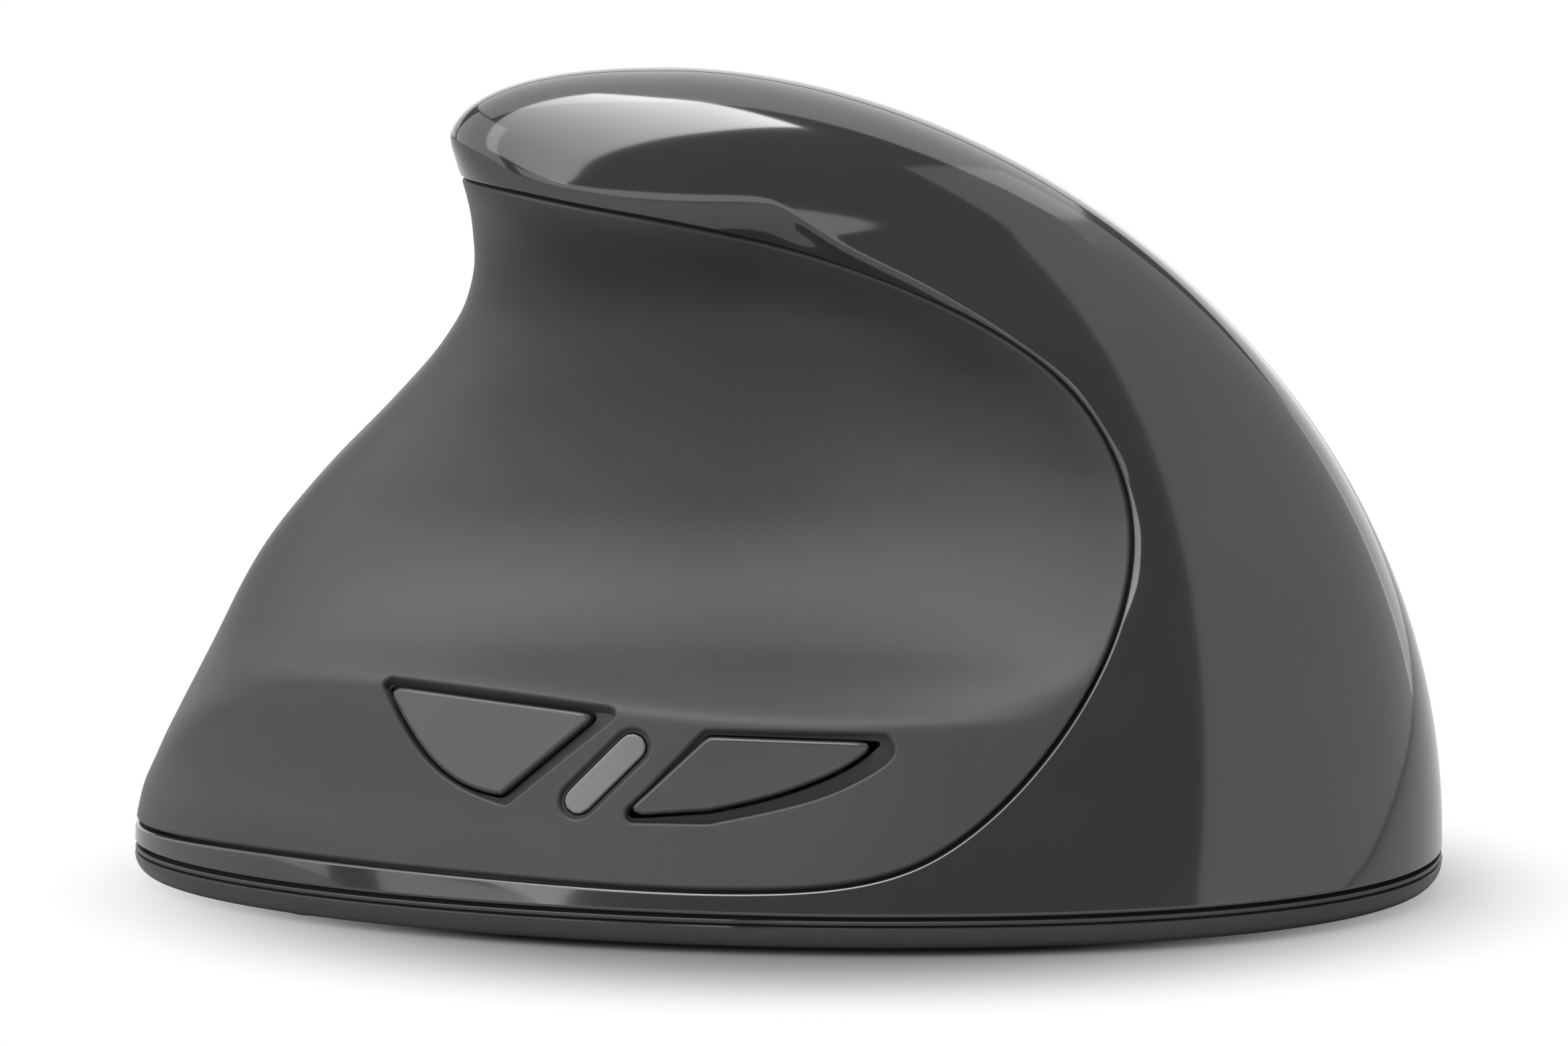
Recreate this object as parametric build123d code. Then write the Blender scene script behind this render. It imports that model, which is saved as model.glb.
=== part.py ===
"""Right-handed vertical mouse: gloss shell, soft thumb panel, thumb and finger buttons, wheel, base.

Millimetres. X points forward (to the fingertips), Y to the thumb side and Z up. The origin is at
the middle of the base, on the desk.
"""
from build123d import *
import math
import numpy as np
import os

# Overall size
length = 120.0
width = 61.0
height = 75.0

# Size at which the outlines of the form below were drawn; they stretch to the overall size
drawn_length = 120.0
drawn_width = 61.0
drawn_height = 75.0
half_length = drawn_length / 2
half_width = drawn_width / 2

# Walls, gaps and levels of the casing
shell_wall = 2.2
seam_gap = 0.35
button_gap = 0.4
front_gap = 0.9
foot_drop = 0.4
tray_floor = 2.0
tray_top = 3.6
groove_height = 0.3
groove_depth = 0.7
ridge_height = 0.4
lip_wall = 1.2
lip_height = 3.0
ridge_inset = 0.1
tray_round_in = 2.2

# Wheel and the finger side
wheel_x = 14.0
wheel_level = 47.0
wheel_radius = 10.5
wheel_width = 6.5
wheel_proud = 3.3
tyre_thickness = 1.9
axle_radius = 1.5
running_clearance = 0.06
wheel_clearance = 0.5
zone_rear = 30.0
zone_front = 60.0
zone_depth = 12.0
bezel_half = 4.4
left_edge = 21.0
right_edge = 20.5
corner_radius = 2.0
board_drop = 6.5
board_thick = 1.2
pivot_back = 26.5
pivot_depth = 8.5
pivot_radius = 1.0
press_back = 4.0
micro_length = 12.8
micro_width = 5.8
micro_height = 6.5
micro_side = 13.0
plunger_height = 0.7
plunger_gap = 0.35
dpi_x = -22.2
dpi_half = 3.4
dpi_travel = 0.3
board_rear = -29.0
board_front = 8.5
rail_thick = 2.5
ear_half = 1.7
ear_thick = 1.8
bracket_sides = (4.6, 9.0)
button_sides = (6.8, 13.4)
finger_reach_level = 8.0

# Wheel carrier
tread_count = 30
cheek = 1.2
carrier_pivot = -13.5
pivot_low = -10.5

# Thumb buttons
lens_x = 15.7
lens_level = 15.1
lens_shift = 0.3
lens_run = 6.4
lens_radius = 1.0
lens_play = 0.05
lens_rim = 0.55
lens_rim_depth = 0.5
thumb_travel = 0.5
pocket_depth = 1.3
pocket_round = 0.7
tile_round = 0.35
thumb_side_steps = 10
face_inset = 0.15
hole_clearance = 0.3
prism_spare = 8.0
lip_thick = 1.0
lip_reach = 0.9
lip_half = 2.5
stem_drop = 0.8
tact_side = 6.0
tact_height = 3.5
led_height = 1.6

# Battery, receiver, sensor and other parts bought as standard pieces
cell_radius = 7.15
cell_length = 50.5
cell_x = -10.5
cell_y = -6.0
cell_gap = 0.4
receiver_width = 14.0
receiver_height = 4.4
receiver_length = 18.0
plug_width = 12.0
plug_height = 4.2
plug_length = 12.0
slot_clearance = 0.25
receiver_y = -4.0
receiver_recess = 0.9
main_board_thick = 1.2
main_board_gap = 3.0
sensor_x = 31.0
screw_radius = 1.1
screw_head_radius = 2.4
screw_head_height = 1.3
post_radius = 3.0
post_level = 4.4
post_free = 7.5
post_top = 16.0
post_wall_gap = 1.6
frame_play = 0.3
sleeve_wall = 1.2
foot_thick = 0.7
foot_gap = 0.15
contact_room = 3.0
bay_wall = 1.2
door_thick = 1.5
door_lip = 1.2
power_travel = 2.5

# Levels and slants that shape the form, at the drawn size
belt = 4.0
peak_x = 10.4
peak_y = 4.0
nose_x = 30.5
nose_level = 66.8
crown_level = 61.0
section_points = 48

os.makedirs("parts", exist_ok=True)


def arch(u, n):
    """Height of a unit superellipse at u."""
    return max(0.0, 1.0 - min(1.0, abs(u)) ** n) ** (1.0 / n)


def curve(points):
    """Smooth curve through (level, reach) points that never overshoots them."""
    xs = [p[0] for p in points]
    ys = [p[1] for p in points]
    gaps = [b - a for a, b in zip(xs, xs[1:])]
    slopes = [(b - a) / g for a, b, g in zip(ys, ys[1:], gaps)]
    tangents = [slopes[0]]
    for s0, s1, g0, g1 in zip(slopes, slopes[1:], gaps, gaps[1:]):
        if s0 * s1 <= 0:
            tangents.append(0.0)
        else:
            tangents.append(3 * (g0 + g1) / ((2 * g1 + g0) / s0 + (g1 + 2 * g0) / s1))
    tangents.append(slopes[-1])

    def reach(x):
        x = min(max(x, xs[0]), xs[-1])
        i = max(k for k in range(len(gaps)) if xs[k] <= x)
        t = (x - xs[i]) / gaps[i]
        return (ys[i] * (1 + 2 * t) * (1 - t) ** 2 + tangents[i] * gaps[i] * t * (1 - t) ** 2
                + ys[i + 1] * t * t * (3 - 2 * t) + tangents[i + 1] * gaps[i] * t * t * (t - 1))
    return reach


# Outer form: how far its front edge reaches at each level
hull_front = curve([(0, 60), (4, 60), (8.5, 59.2), (11.4, 58.1), (15, 57.2), (20, 56.2), (30, 53),
                    (40, 48), (50, 41.5), (57, 35.8), (62, 32), (nose_level, nose_x)])
# Thumb scoop: front edge, side wall, where the wall turns forward, and where it leaves the form
scoop_front = curve([(4, 64), (8.5, 60.4), (11.4, 58.2), (13.5, 57), (17.5, 54.9), (21.5, 52.8),
                     (30.2, 48.2), (36.7, 43), (44, 35.9), (49.1, 31.5), (53.4, 29.1), (57, 28.4),
                     (59.9, 28.6), (64.4, 30), (67, 31.8), (70, 35), (75, 42)])
scoop_side = curve([(11, 62), (16, 36), (18, 29.5), (19.4, 26.2), (20.5, 23.9), (22, 21), (25, 15.6),
                    (30, 10.2), (36, 6.9), (45, 5), (52, 5.5), (55, 6.7), (58, 9.2), (60, 11.5),
                    (61.4, 13.4), (63, 16), (67, 22), (72, 30), (76, 40)])
scoop_turn = curve([(11, 24), (20, 25), (25, 14), (30, 9), (40, 6), (50, 6), (60, 5), (70, 4)])
scoop_middle = curve([(10, 2), (30, 0), (50, -3), (60, -3), (70, 0)])
scoop_exit = curve([(19.4, -14), (20, -18.5), (22.8, -25), (25.3, -27.8), (29.3, -30), (32.5, -30.9),
                    (35, -31), (39, -30.2), (43, -28), (47.5, -24.4), (51, -19.8), (53, -16.8),
                    (56, -11.4), (58, -7), (60, -2.8), (61.4, -0.6), (63, 0.5)])
scoop_fullness = curve([(11, 2.1), (30, 2.1), (45, 2.4), (60, 2.2)])
# A line inside the form from which each level is swept round
spine_x = curve([(4, -5), (20, -12), (47, -14), (60, -2), (66, 4), (75, peak_x)])
spine_y = curve([(4, 0), (20, -3), (35, -8), (47, -8), (57, -4), (66, 0), (75, peak_y)])
# Side of the seam that runs down the front, on the finger side of the panel
front_seam = curve([(-8, -8), (5, -9), (30, -12), (45, -13), (57, -9), (66, -3.5), (90, 8)])


def hull_extents(z):
    """Rear, front, thumb and finger reach of the outer form at a drawn level, and its rise from 0 to 1."""
    rise = min(max((z - belt) / (drawn_height - belt), 0.0), 1.0)
    n = 1.97 - 0.10 * rise
    rear = peak_x - (peak_x + half_length) * max(0.0, 1 - rise ** n) ** (1 / n)
    front = hull_front(z)
    if z > nose_level:
        front = peak_x + (nose_x - peak_x) * arch((z - nose_level) / (drawn_height - nose_level), 2.5)
    crown_reach = 9.5
    if z > crown_level:
        lean = crown_reach * arch((z - crown_level) / (drawn_height - crown_level), 2.0)
    else:
        fall = min(1.0, (crown_level - z) / (crown_level - belt))
        lean = crown_reach + (half_width - peak_y - crown_reach) * fall ** 1.1
    finger = peak_y - (peak_y + half_width) * arch(rise, 1.75)
    return rear, front, peak_y + lean, finger, rise


def quadrant(cx, cy, reach_x, reach_y, n, start, end, steps=40):
    """Points of a quarter of a superellipse."""
    a = np.linspace(start, end, steps)
    return cx + reach_x * np.abs(np.cos(a)) ** (2 / n), cy + reach_y * np.abs(np.sin(a)) ** (2 / n)


def hull_outline(z, wall):
    """Level outline of the outer form, set in by a wall."""
    rear, front, thumb, finger, rise = hull_extents(z)
    rear, front, thumb, finger = rear + wall, front - wall, thumb - wall, finger + wall
    turn_thumb = -8 + (peak_x + 8) * rise ** 1.5
    turn_finger = peak_x * rise ** 1.5
    middle = peak_y * rise
    q = math.pi / 2
    parts = [quadrant(turn_thumb, middle, front - turn_thumb, thumb - middle, 1.8 + 0.4 * rise, 0, q),
             quadrant(turn_thumb, middle, rear - turn_thumb, thumb - middle, 2.3 - 0.1 * rise, q, 0),
             quadrant(turn_finger, middle, rear - turn_finger, finger - middle, 2.3 - 0.1 * rise, 0, q),
             quadrant(turn_finger, middle, front - turn_finger, finger - middle, 2.1, q, 0)]
    return np.concatenate([p[0][:-1] for p in parts]), np.concatenate([p[1][:-1] for p in parts])


def scoop_outline(z, wall):
    """Level line of the scoop's wall: from the finger side round the front and along the thumb side."""
    around = [min(max(v, 9), 71) for v in (z - wall, z, z + wall)]
    front = min(scoop_front(v) for v in around) - wall
    side = min(scoop_side(v) for v in around) - 0.8 * wall
    turn, middle, leave, n = scoop_turn(z), scoop_middle(z), scoop_exit(z), scoop_fullness(z)
    rear_k, front_k, thumb_k, finger_k, rise = hull_extents(z)
    q = math.pi / 2
    xa, ya = quadrant(front - 14, middle, 14, finger_k - 4 - middle, 2.2, q, 0)
    xb, yb = quadrant(turn, middle, front - turn, side - middle, n, 0, q)
    turn_thumb = -8 + (peak_x + 8) * rise ** 1.5
    u = (turn_thumb - leave) / (turn_thumb - rear_k)
    out_y = peak_y * rise + (thumb_k - peak_y * rise) * arch(u, 2.3 - 0.1 * rise)
    flare = max(out_y - scoop_side(z), 0.5)
    t = np.linspace(0, 1.25, 40)
    xc = turn - t * (turn - leave)
    yc = side + flare * t ** 2.4 + 3 * np.maximum(t - 1, 0)
    return np.concatenate([xa[:-1], xb[:-1], xc]), np.concatenate([ya[:-1], yb[:-1], yc])


def distances(xs, ys, cx, cy, angles, closed):
    """How far an outline lies from the spine in each direction."""
    a = np.unwrap(np.arctan2(ys - cy, xs - cx))
    r = np.hypot(xs - cx, ys - cy)
    if closed:
        a, r = np.append(a, a[0] + 2 * math.pi), np.append(r, r[0])
    shifted = (angles - a[0]) % (2 * math.pi) + a[0]
    return np.where(shifted <= a[-1], np.interp(shifted, a, r), 1000.0)


def level_outline(level, wall=0.0):
    """Dense outline of the whole body at a real level, set in by a wall, in drawn sizes."""
    z = level * drawn_height / height
    settled = min(1.0, max(0.0, (z - belt) / 20))
    zk = z + wall * settled
    cx, cy = spine_x(zk), spine_y(zk)
    angles = math.pi + np.linspace(0, 2 * math.pi, 721)
    r = distances(*hull_outline(zk, wall), cx, cy, angles, True)
    if 8 < z < 69:
        s = distances(*scoop_outline(z, wall), cx, cy, angles, False)
        blend = 1.5 + 3.0 * min(max((z - 30) / 30, 0), 1)
        r = np.minimum(r, s) - np.maximum(blend - np.abs(r - s), 0) ** 2 / (4 * blend)
    return cx + r * np.cos(angles), cy + r * np.sin(angles)


def to_real(x, y):
    return x * length / drawn_length, y * width / drawn_width


def body_section(level, wall=0.0):
    """Evenly spaced points round the body at a real level."""
    x, y = to_real(*level_outline(level, wall))
    run = np.concatenate([[0], np.cumsum(np.hypot(np.diff(x), np.diff(y)))])
    at = np.linspace(0, run[-1], section_points + 1)[:-1]
    return list(zip(np.interp(at, run, x), np.interp(at, run, y)))


def section_wire(points, level):
    """Closed smooth wire through points, in four equal stretches."""
    count = len(points)
    stretch = count // 4
    spots = [Vector(x, y, level) for x, y in points]
    along = [spots[(i + 1) % count] - spots[i - 1] for i in range(count)]
    edges = []
    for start in range(0, count, stretch):
        ids = [(start + i) % count for i in range(stretch + 1)]
        edges.append(Edge.make_spline([spots[i] for i in ids], tangents=[along[ids[0]], along[ids[-1]]],
                                      parameters=[i / stretch for i in range(stretch + 1)]))
    return Wire(edges)


form_levels = [tray_top, 6, 9, 12, 15, 17.3, 18.8, 20, 21.3, 23, 25.5, 29, 33, 37, 41, 45, 49, 52.5, 56,
               59, 62, 65, 67.5, 69.7, 71.5, 73, 74.1, 74.8]


def body(wall=0.0):
    """The whole body as one solid, set in by a wall on every side but the open bottom."""
    stretch = height / drawn_height
    wires = []
    for z in form_levels:
        settled = min(1.0, max(0.0, (z - belt) / 20))
        level = (z - wall * settled) * stretch if z > tray_top else z
        wires.append(section_wire(body_section(level, wall), level))
    tip_x, tip_y = to_real(peak_x, peak_y)
    tip = [(tip_x + 3.0 * math.cos(a), tip_y + 0.8 * math.sin(a))
           for a in [math.pi + i * 2 * math.pi / section_points for i in range(section_points)]]
    wires.append(section_wire(tip, height - wall))
    return Solid.make_loft(wires, True)


def inside(x, y, z, wall=0.0):
    """Whether a real point lies inside the body."""
    px, py = x * drawn_length / length, y * drawn_width / width
    xs, ys = level_outline(z, wall)
    crossing = (ys[1:] > py) != (ys[:-1] > py)
    steps = np.where(crossing, ys[1:] - ys[:-1], 1.0)
    hits = crossing & (px < xs[:-1] + (py - ys[:-1]) / steps * (xs[1:] - xs[:-1]))
    return int(hits.sum()) % 2 == 1


def side_y(x, z, side, wall=0.0):
    """Y of the body's skin at x and z, on the thumb side (1) or the finger side (-1)."""
    near, far = spine_y(z * drawn_height / height) * width / drawn_width, side * width
    for _ in range(30):
        mid = (near + far) / 2
        if inside(x, mid, z, wall):
            near = mid
        else:
            far = mid
    return near


def skin_depth(frame, u, v, wall=0.0):
    """Height above a local frame's plane at which the body's skin lies over (u, v)."""
    low, high = -14.0, 14.0
    for _ in range(30):
        mid = (low + high) / 2
        p = (frame * Pos(u, v, mid)).position
        if inside(p.X, p.Y, p.Z, wall):
            low = mid
        else:
            high = mid
    return low


# Small helpers for solids

def block(x0, x1, y0, y1, z0, z1, frame=Location()):
    return frame * Pos((x0 + x1) / 2, (y0 + y1) / 2, (z0 + z1) / 2) * Box(x1 - x0, y1 - y0, z1 - z0)


def disc(x, y, z0, z1, radius, frame=Location()):
    """Cylinder along a frame's own z axis."""
    return frame * Pos(x, y, (z0 + z1) / 2) * Cylinder(radius, z1 - z0)


def spindle(x, y0, y1, z, radius, frame=Location()):
    """Cylinder along a frame's own y axis."""
    return frame * Pos(x, (y0 + y1) / 2, z) * Rot(90, 0, 0) * Cylinder(radius, y1 - y0)


def rounded_plate(x0, x1, y0, y1, z0, z1, radius, frame=Location()):
    sketch = RectangleRounded(x1 - x0, y1 - y0, radius)
    return frame * Pos((x0 + x1) / 2, (y0 + y1) / 2, z0) * extrude(sketch, amount=z1 - z0)


def solid_of(shape):
    """The largest solid of a result."""
    return max(shape.solids(), key=lambda s: s.volume)


def keep(name, shape):
    """Writes one sub-part."""
    solids = shape.solids()
    whole = solids[0] if len(solids) == 1 else Compound(children=list(solids))
    export_step(whole, f"parts/{name}.step")


# Local frames of the finger side, the thumb side and the base

low_y = side_y(wheel_x, wheel_level - finger_reach_level, -1)
high_y = side_y(wheel_x, wheel_level + finger_reach_level, -1)
up_slope = Vector(0, high_y - low_y, 2 * finger_reach_level).normalized()
finger_normal = Vector(1, 0, 0).cross(up_slope)
finger = Location(Plane(origin=(wheel_x, side_y(wheel_x, wheel_level, -1), wheel_level),
                        x_dir=(1, 0, 0), z_dir=finger_normal))

lens_y = side_y(lens_x, lens_level, 1)
forward_step = Vector(20, side_y(lens_x + 10, lens_level, 1) - side_y(lens_x - 10, lens_level, 1), 0)
upward_step = Vector(0, side_y(lens_x, lens_level + 3, 1) - side_y(lens_x, lens_level - 3, 1), 6)
thumb_normal = upward_step.cross(forward_step).normalized()
thumb = Location(Plane(origin=(lens_x, lens_y, lens_level), x_dir=forward_step, z_dir=thumb_normal))

floor_level = foot_drop + tray_floor

# Casing: outer and inner form, and the shell between them
outer_form = body()
inner_form = body(shell_wall)
room = body(shell_wall + seam_gap)
shell = outer_form - inner_form


def slab_beyond_front_seam(shift):
    """All of the space on the thumb side of the front seam, moved by a shift towards the thumb."""
    spots = [(front_seam(z) + shift, z) for z in (-8, 0, 8, 16, 24, 32, 40, 48, 54, 60, 66, 74, 84)]
    wire = Wire([Edge.make_spline([Vector(-90, y, z) for y, z in spots]),
                 Edge.make_line(Vector(-90, spots[-1][0], spots[-1][1]), Vector(-90, 90, spots[-1][1])),
                 Edge.make_line(Vector(-90, 90, spots[-1][1]), Vector(-90, 90, spots[0][1])),
                 Edge.make_line(Vector(-90, 90, spots[0][1]), Vector(-90, spots[0][0], spots[0][1]))])
    return Solid.extrude(Face(wire), Vector(180, 0, 0))


# Seam of the thumb panel as seen from the thumb side: over the top, down the back and along the bottom
panel_seam = [(75, 64.6), (44, 64.8), (30, 64.8), (25, 64.3), (19.6, 63.4), (12, 62.1), (5.8, 60.8),
              (-1.8, 58.8), (-8.8, 56.5), (-15.6, 53.6), (-20.5, 50.8), (-24.6, 47.4), (-27.7, 43.2),
              (-29.5, 38.8), (-30.1, 34.6), (-29.4, 29.6), (-26.6, 22.9), (-22.2, 16.7), (-16.8, 11.5),
              (-11.2, 8.1), (-5.2, 6.5), (1.6, 5.9), (14, 5.8), (27.8, 6.1), (42, 6.3), (53.2, 6.1),
              (60, 5.7), (75, 5.2)]


def panel_block(grow):
    """The space of the thumb panel, larger all round by grow."""
    spots = [(x * length / drawn_length, z * height / drawn_height) for x, z in panel_seam]
    moved = []
    for before, (x, z), after in zip([spots[0]] + spots[:-1], spots, spots[1:] + [spots[-1]]):
        dx, dz = after[0] - before[0], after[1] - before[1]
        size = math.hypot(dx, dz)
        moved.append(Vector(x + grow * dz / size, -40, z - grow * dx / size))
    wire = Wire([Edge.make_spline(moved), Edge.make_line(moved[-1], moved[0])])
    prism = Solid.extrude(Face(wire), Vector(0, 110, 0))
    return prism & slab_beyond_front_seam(-grow)


def finger_block(low, high, grow, deeper=0.0):
    """The space of a strip of the finger side between two heights up the slope."""
    return rounded_plate(-zone_rear - grow, zone_front, low - grow, high + grow, -zone_depth - deeper, 14,
                         corner_radius + grow, finger)


def without_front(shape, gap):
    return shape - slab_beyond_front_seam(-gap)


# Pieces of the shell
left_button = solid_of(without_front(shell & finger_block(bezel_half + button_gap, left_edge, 0), front_gap))
right_button = solid_of(without_front(shell & finger_block(-right_edge, -bezel_half - button_gap, 0), front_gap))
wheel_bezel = solid_of(without_front(shell & finger_block(-bezel_half, bezel_half, 0), seam_gap))
finger_opening = finger_block(-right_edge, left_edge, button_gap, front_gap) - slab_beyond_front_seam(0)
top_shell = solid_of(shell - panel_block(seam_gap) - finger_opening)
thumb_panel = solid_of(shell & panel_block(0))


# Base tray: rounded wall, two grooves, floor and a lip that locates the shell

def level_prism(inset, z0, z1):
    """A slice of the base outline, set in all round."""
    return Solid.extrude(Face(section_wire(body_section(tray_top, inset), z0)), Vector(0, 0, z1 - z0))


wall_top = tray_top - 2 * groove_height - ridge_height
foot_curve = [math.radians(a) for a in (0, 22, 45, 67, 90)]
tray_round_up = wall_top - foot_drop
round_wires = [section_wire(body_section(tray_top, tray_round_in * (1 - math.sin(a))),
                            foot_drop + tray_round_up * (1 - math.cos(a))) for a in foot_curve]
wall_block = Solid.make_loft(round_wires, True)
lip_inset = shell_wall + seam_gap
cavity = room + level_prism(lip_inset, floor_level, tray_top)
well = level_prism(lip_inset + lip_wall, floor_level, tray_top + lip_height + 1)

base_tray = (wall_block + level_prism(groove_depth, wall_top, tray_top)
             + level_prism(ridge_inset, wall_top + groove_height, wall_top + groove_height + ridge_height))
base_tray += level_prism(lip_inset, tray_top, tray_top + lip_height) & room
base_tray -= well

# Posts under the casing, each with a boss and a case screw below it
post_inset = shell_wall + post_wall_gap
posts = []
for post_x, side in ((-42.0, 1), (-42.0, -1), (36.0, -1), (42.0, 1)):
    posts.append((post_x, side_y(post_x, 10, side) - side * post_inset, side))
case_screws = []
skin = body(shell_wall * 0.4)
for post_x, post_y, side in posts:
    post = disc(post_x, post_y, post_level, post_free, post_radius) & room
    post += disc(post_x, post_y, post_free, post_top, post_radius) & skin
    screw_hole = disc(post_x, post_y, post_level - 1, post_level + 8, screw_radius + running_clearance)
    if post_x > 0 and side > 0:
        thumb_panel = solid_of(thumb_panel + post - screw_hole)
    else:
        top_shell = solid_of(top_shell + post - screw_hole)
    base_tray -= disc(post_x, post_y, post_level, 20, post_radius + seam_gap)
    base_tray += disc(post_x, post_y, foot_drop, tray_top, post_radius)
    base_tray += disc(post_x, post_y, tray_top, post_level, post_radius) & room
    base_tray -= disc(post_x, post_y, -1, post_level + 1, screw_radius + running_clearance)
    base_tray -= disc(post_x, post_y, -1, foot_drop + screw_head_height + 0.1, screw_head_radius + 0.2)
    head = disc(post_x, post_y, foot_drop + 0.1, foot_drop + 0.1 + screw_head_height, screw_head_radius)
    head -= disc(post_x, post_y, 0, foot_drop + 0.8, 0.9)
    case_screws.append(head + disc(post_x, post_y, foot_drop + screw_head_height, post_level + 7.5, screw_radius))

# Glide feet in shallow recesses under the tray
feet = {"front_foot": (39.5, 48.5, 11.0), "rear_foot": (-53.0, -44.5, 11.5)}
foot_solids = {}
for name, (x0, x1, half) in feet.items():
    foot_solids[name] = rounded_plate(x0, x1, -half, half, 0, foot_thick, 3.5)
    base_tray -= rounded_plate(x0 - foot_gap, x1 + foot_gap, -half - foot_gap, half + foot_gap,
                               foot_drop - 1, foot_thick, 3.5 + foot_gap)

# Battery bay with its door, cell and contacts
bay_x0 = cell_x - cell_length / 2 - contact_room
bay_x1 = cell_x + cell_length / 2 + contact_room
bay_y0 = cell_y - cell_radius - 1.0
bay_y1 = cell_y + cell_radius + 1.0
cell_z = floor_level + cell_gap + cell_radius
base_tray += block(bay_x0 - bay_wall, bay_x1 + bay_wall, bay_y0 - bay_wall, bay_y1 + bay_wall,
                   floor_level, cell_z - 1)
base_tray += block(bay_x0 - bay_wall, bay_x0, bay_y0, bay_y1, floor_level, cell_z + 5)
base_tray += block(bay_x1, bay_x1 + bay_wall, bay_y0, bay_y1, floor_level, cell_z + 5)
base_tray -= block(bay_x0, bay_x1, bay_y0, bay_y1, -1, cell_z + 6)
base_tray -= rounded_plate(bay_x0 - door_lip, bay_x1 + door_lip, bay_y0 - door_lip, bay_y1 + door_lip,
                           -1, foot_drop + door_thick + 0.05, 2.0)
door_edge = door_lip - seam_gap
battery_door = rounded_plate(bay_x0 - door_edge, bay_x1 + door_edge, bay_y0 - door_edge, bay_y1 + door_edge,
                             foot_drop, foot_drop + door_thick, 2.0 - seam_gap)
for i in range(4):
    grip_x = bay_x1 - 6 - 1.6 * i
    battery_door -= block(grip_x, grip_x + 0.7, cell_y - 5, cell_y + 5, 0, foot_drop + 0.4)
cell_turn = Pos(cell_x, cell_y, cell_z) * Rot(0, 90, 0)
battery = cell_turn * Pos(0, 0, -0.5) * Cylinder(cell_radius, cell_length - 1)
battery += cell_turn * Pos(0, 0, cell_length / 2 - 1) * Cylinder(2.6, 2.0)
battery += cell_turn * Pos(0, 0, -cell_length / 2 + 0.25) * Cylinder(5.0, 0.5)


def battery_contact(wall_x, cell_end, reach):
    """Contact plate on an end wall of the bay with a bent leaf that reaches the cell."""
    way = 1 if cell_end > wall_x else -1
    plate = block(min(wall_x, wall_x + 0.4 * way), max(wall_x, wall_x + 0.4 * way),
                  cell_y - 4.5, cell_y + 4.5, floor_level + 0.6, cell_z + 4.5)
    leaf = [(wall_x, cell_z - 5), (cell_end, cell_z - reach), (cell_end, cell_z + reach), (wall_x, cell_z + 4),
            (wall_x, cell_z + 3.4), (cell_end - 0.4 * way, cell_z + reach - 0.2),
            (cell_end - 0.4 * way, cell_z - reach + 0.2), (wall_x, cell_z - 4.4)]
    wire = Wire.make_polygon([Vector(x, cell_y - 3, z) for x, z in leaf], close=True)
    return plate + Solid.extrude(Face(wire), Vector(0, 6, 0))


contact_plate = battery_contact(bay_x1, cell_x + cell_length / 2, 1.5)
contact_spring = battery_contact(bay_x0, cell_x - cell_length / 2, 2.5)

# Receiver stored in a slot of the rear end
slot_level = post_level + slot_clearance + receiver_height / 2
rear_x = -length / 2
receiver_x = rear_x + receiver_recess + 0.4
plug_x = receiver_x + receiver_length - plug_length
slot_y0 = receiver_y - receiver_width / 2 - slot_clearance
slot_y1 = receiver_y + receiver_width / 2 + slot_clearance
slot_z0 = slot_level - receiver_height / 2 - slot_clearance
slot_z1 = slot_level + receiver_height / 2 + slot_clearance
slot_end = receiver_x + receiver_length + slot_clearance
slot_cut = block(rear_x - 10, slot_end, slot_y0, slot_y1, slot_z0, slot_z1)
top_shell = solid_of(top_shell - slot_cut)
sleeve = block(rear_x, slot_end + sleeve_wall, slot_y0 - sleeve_wall, slot_y1 + sleeve_wall, floor_level,
               slot_z1 + sleeve_wall) & cavity
base_tray = base_tray + sleeve - slot_cut
receiver_grip = rounded_plate(-receiver_width / 2, receiver_width / 2, -receiver_height / 2, receiver_height / 2,
                              0, plug_x - receiver_x, 1.2,
                              Location(Plane(origin=(receiver_x, receiver_y, slot_level), x_dir=(0, 1, 0),
                                             z_dir=(1, 0, 0))))
receiver_plug = block(plug_x, receiver_x + receiver_length, receiver_y - plug_width / 2,
                      receiver_y + plug_width / 2, slot_level - plug_height / 2, slot_level + plug_height / 2)
for side in (-1, 1):
    window_y = receiver_y + side * 2.8
    receiver_plug -= block(plug_x + 4, plug_x + 6.2, window_y - 1.1, window_y + 1.1,
                           slot_level + plug_height / 2 - 0.4, slot_level + 5)

# Main board with the sensor under the front of the hand
board_level = floor_level + main_board_gap
board_x0 = bay_x1 + bay_wall + 1.0
board_x1 = board_x0 + 26.0
main_board = rounded_plate(board_x0, board_x1, -14, 9, board_level, board_level + main_board_thick, 1.5)
chip_level = board_level + main_board_thick
standoffs = [(board_x0 + 2.3, -11.5), (board_x0 + 2.3, 6.6), (board_x1 - 2.5, -11), (board_x1 - 2.5, 6)]
board_screws = []
for x, y in standoffs:
    base_tray += disc(x, y, foot_drop + 1, board_level, 1.9)
    base_tray -= disc(x, y, foot_drop + 1, board_level + 1, 0.9)
    main_board -= disc(x, y, board_level - 1, chip_level + 1, 0.9 + running_clearance)
    board_screws.append(disc(x, y, chip_level, chip_level + 0.9, 1.7)
                        + disc(x, y, foot_drop + 1.2, chip_level, 0.85))
lens_plate = rounded_plate(sensor_x - 6.5, sensor_x + 6.5, -7, 7, floor_level, board_level, 1.0)
sensor_lens = lens_plate + disc(sensor_x, 0, floor_level - 1.0, floor_level, 2.6)
base_tray -= rounded_plate(sensor_x - 3.5, sensor_x + 3.5, -4.5, 4.5, -1, floor_level, 1.5)
sensor_chip = block(sensor_x - 6, sensor_x + 6, -5, 5, chip_level, chip_level + 2.4)
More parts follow.
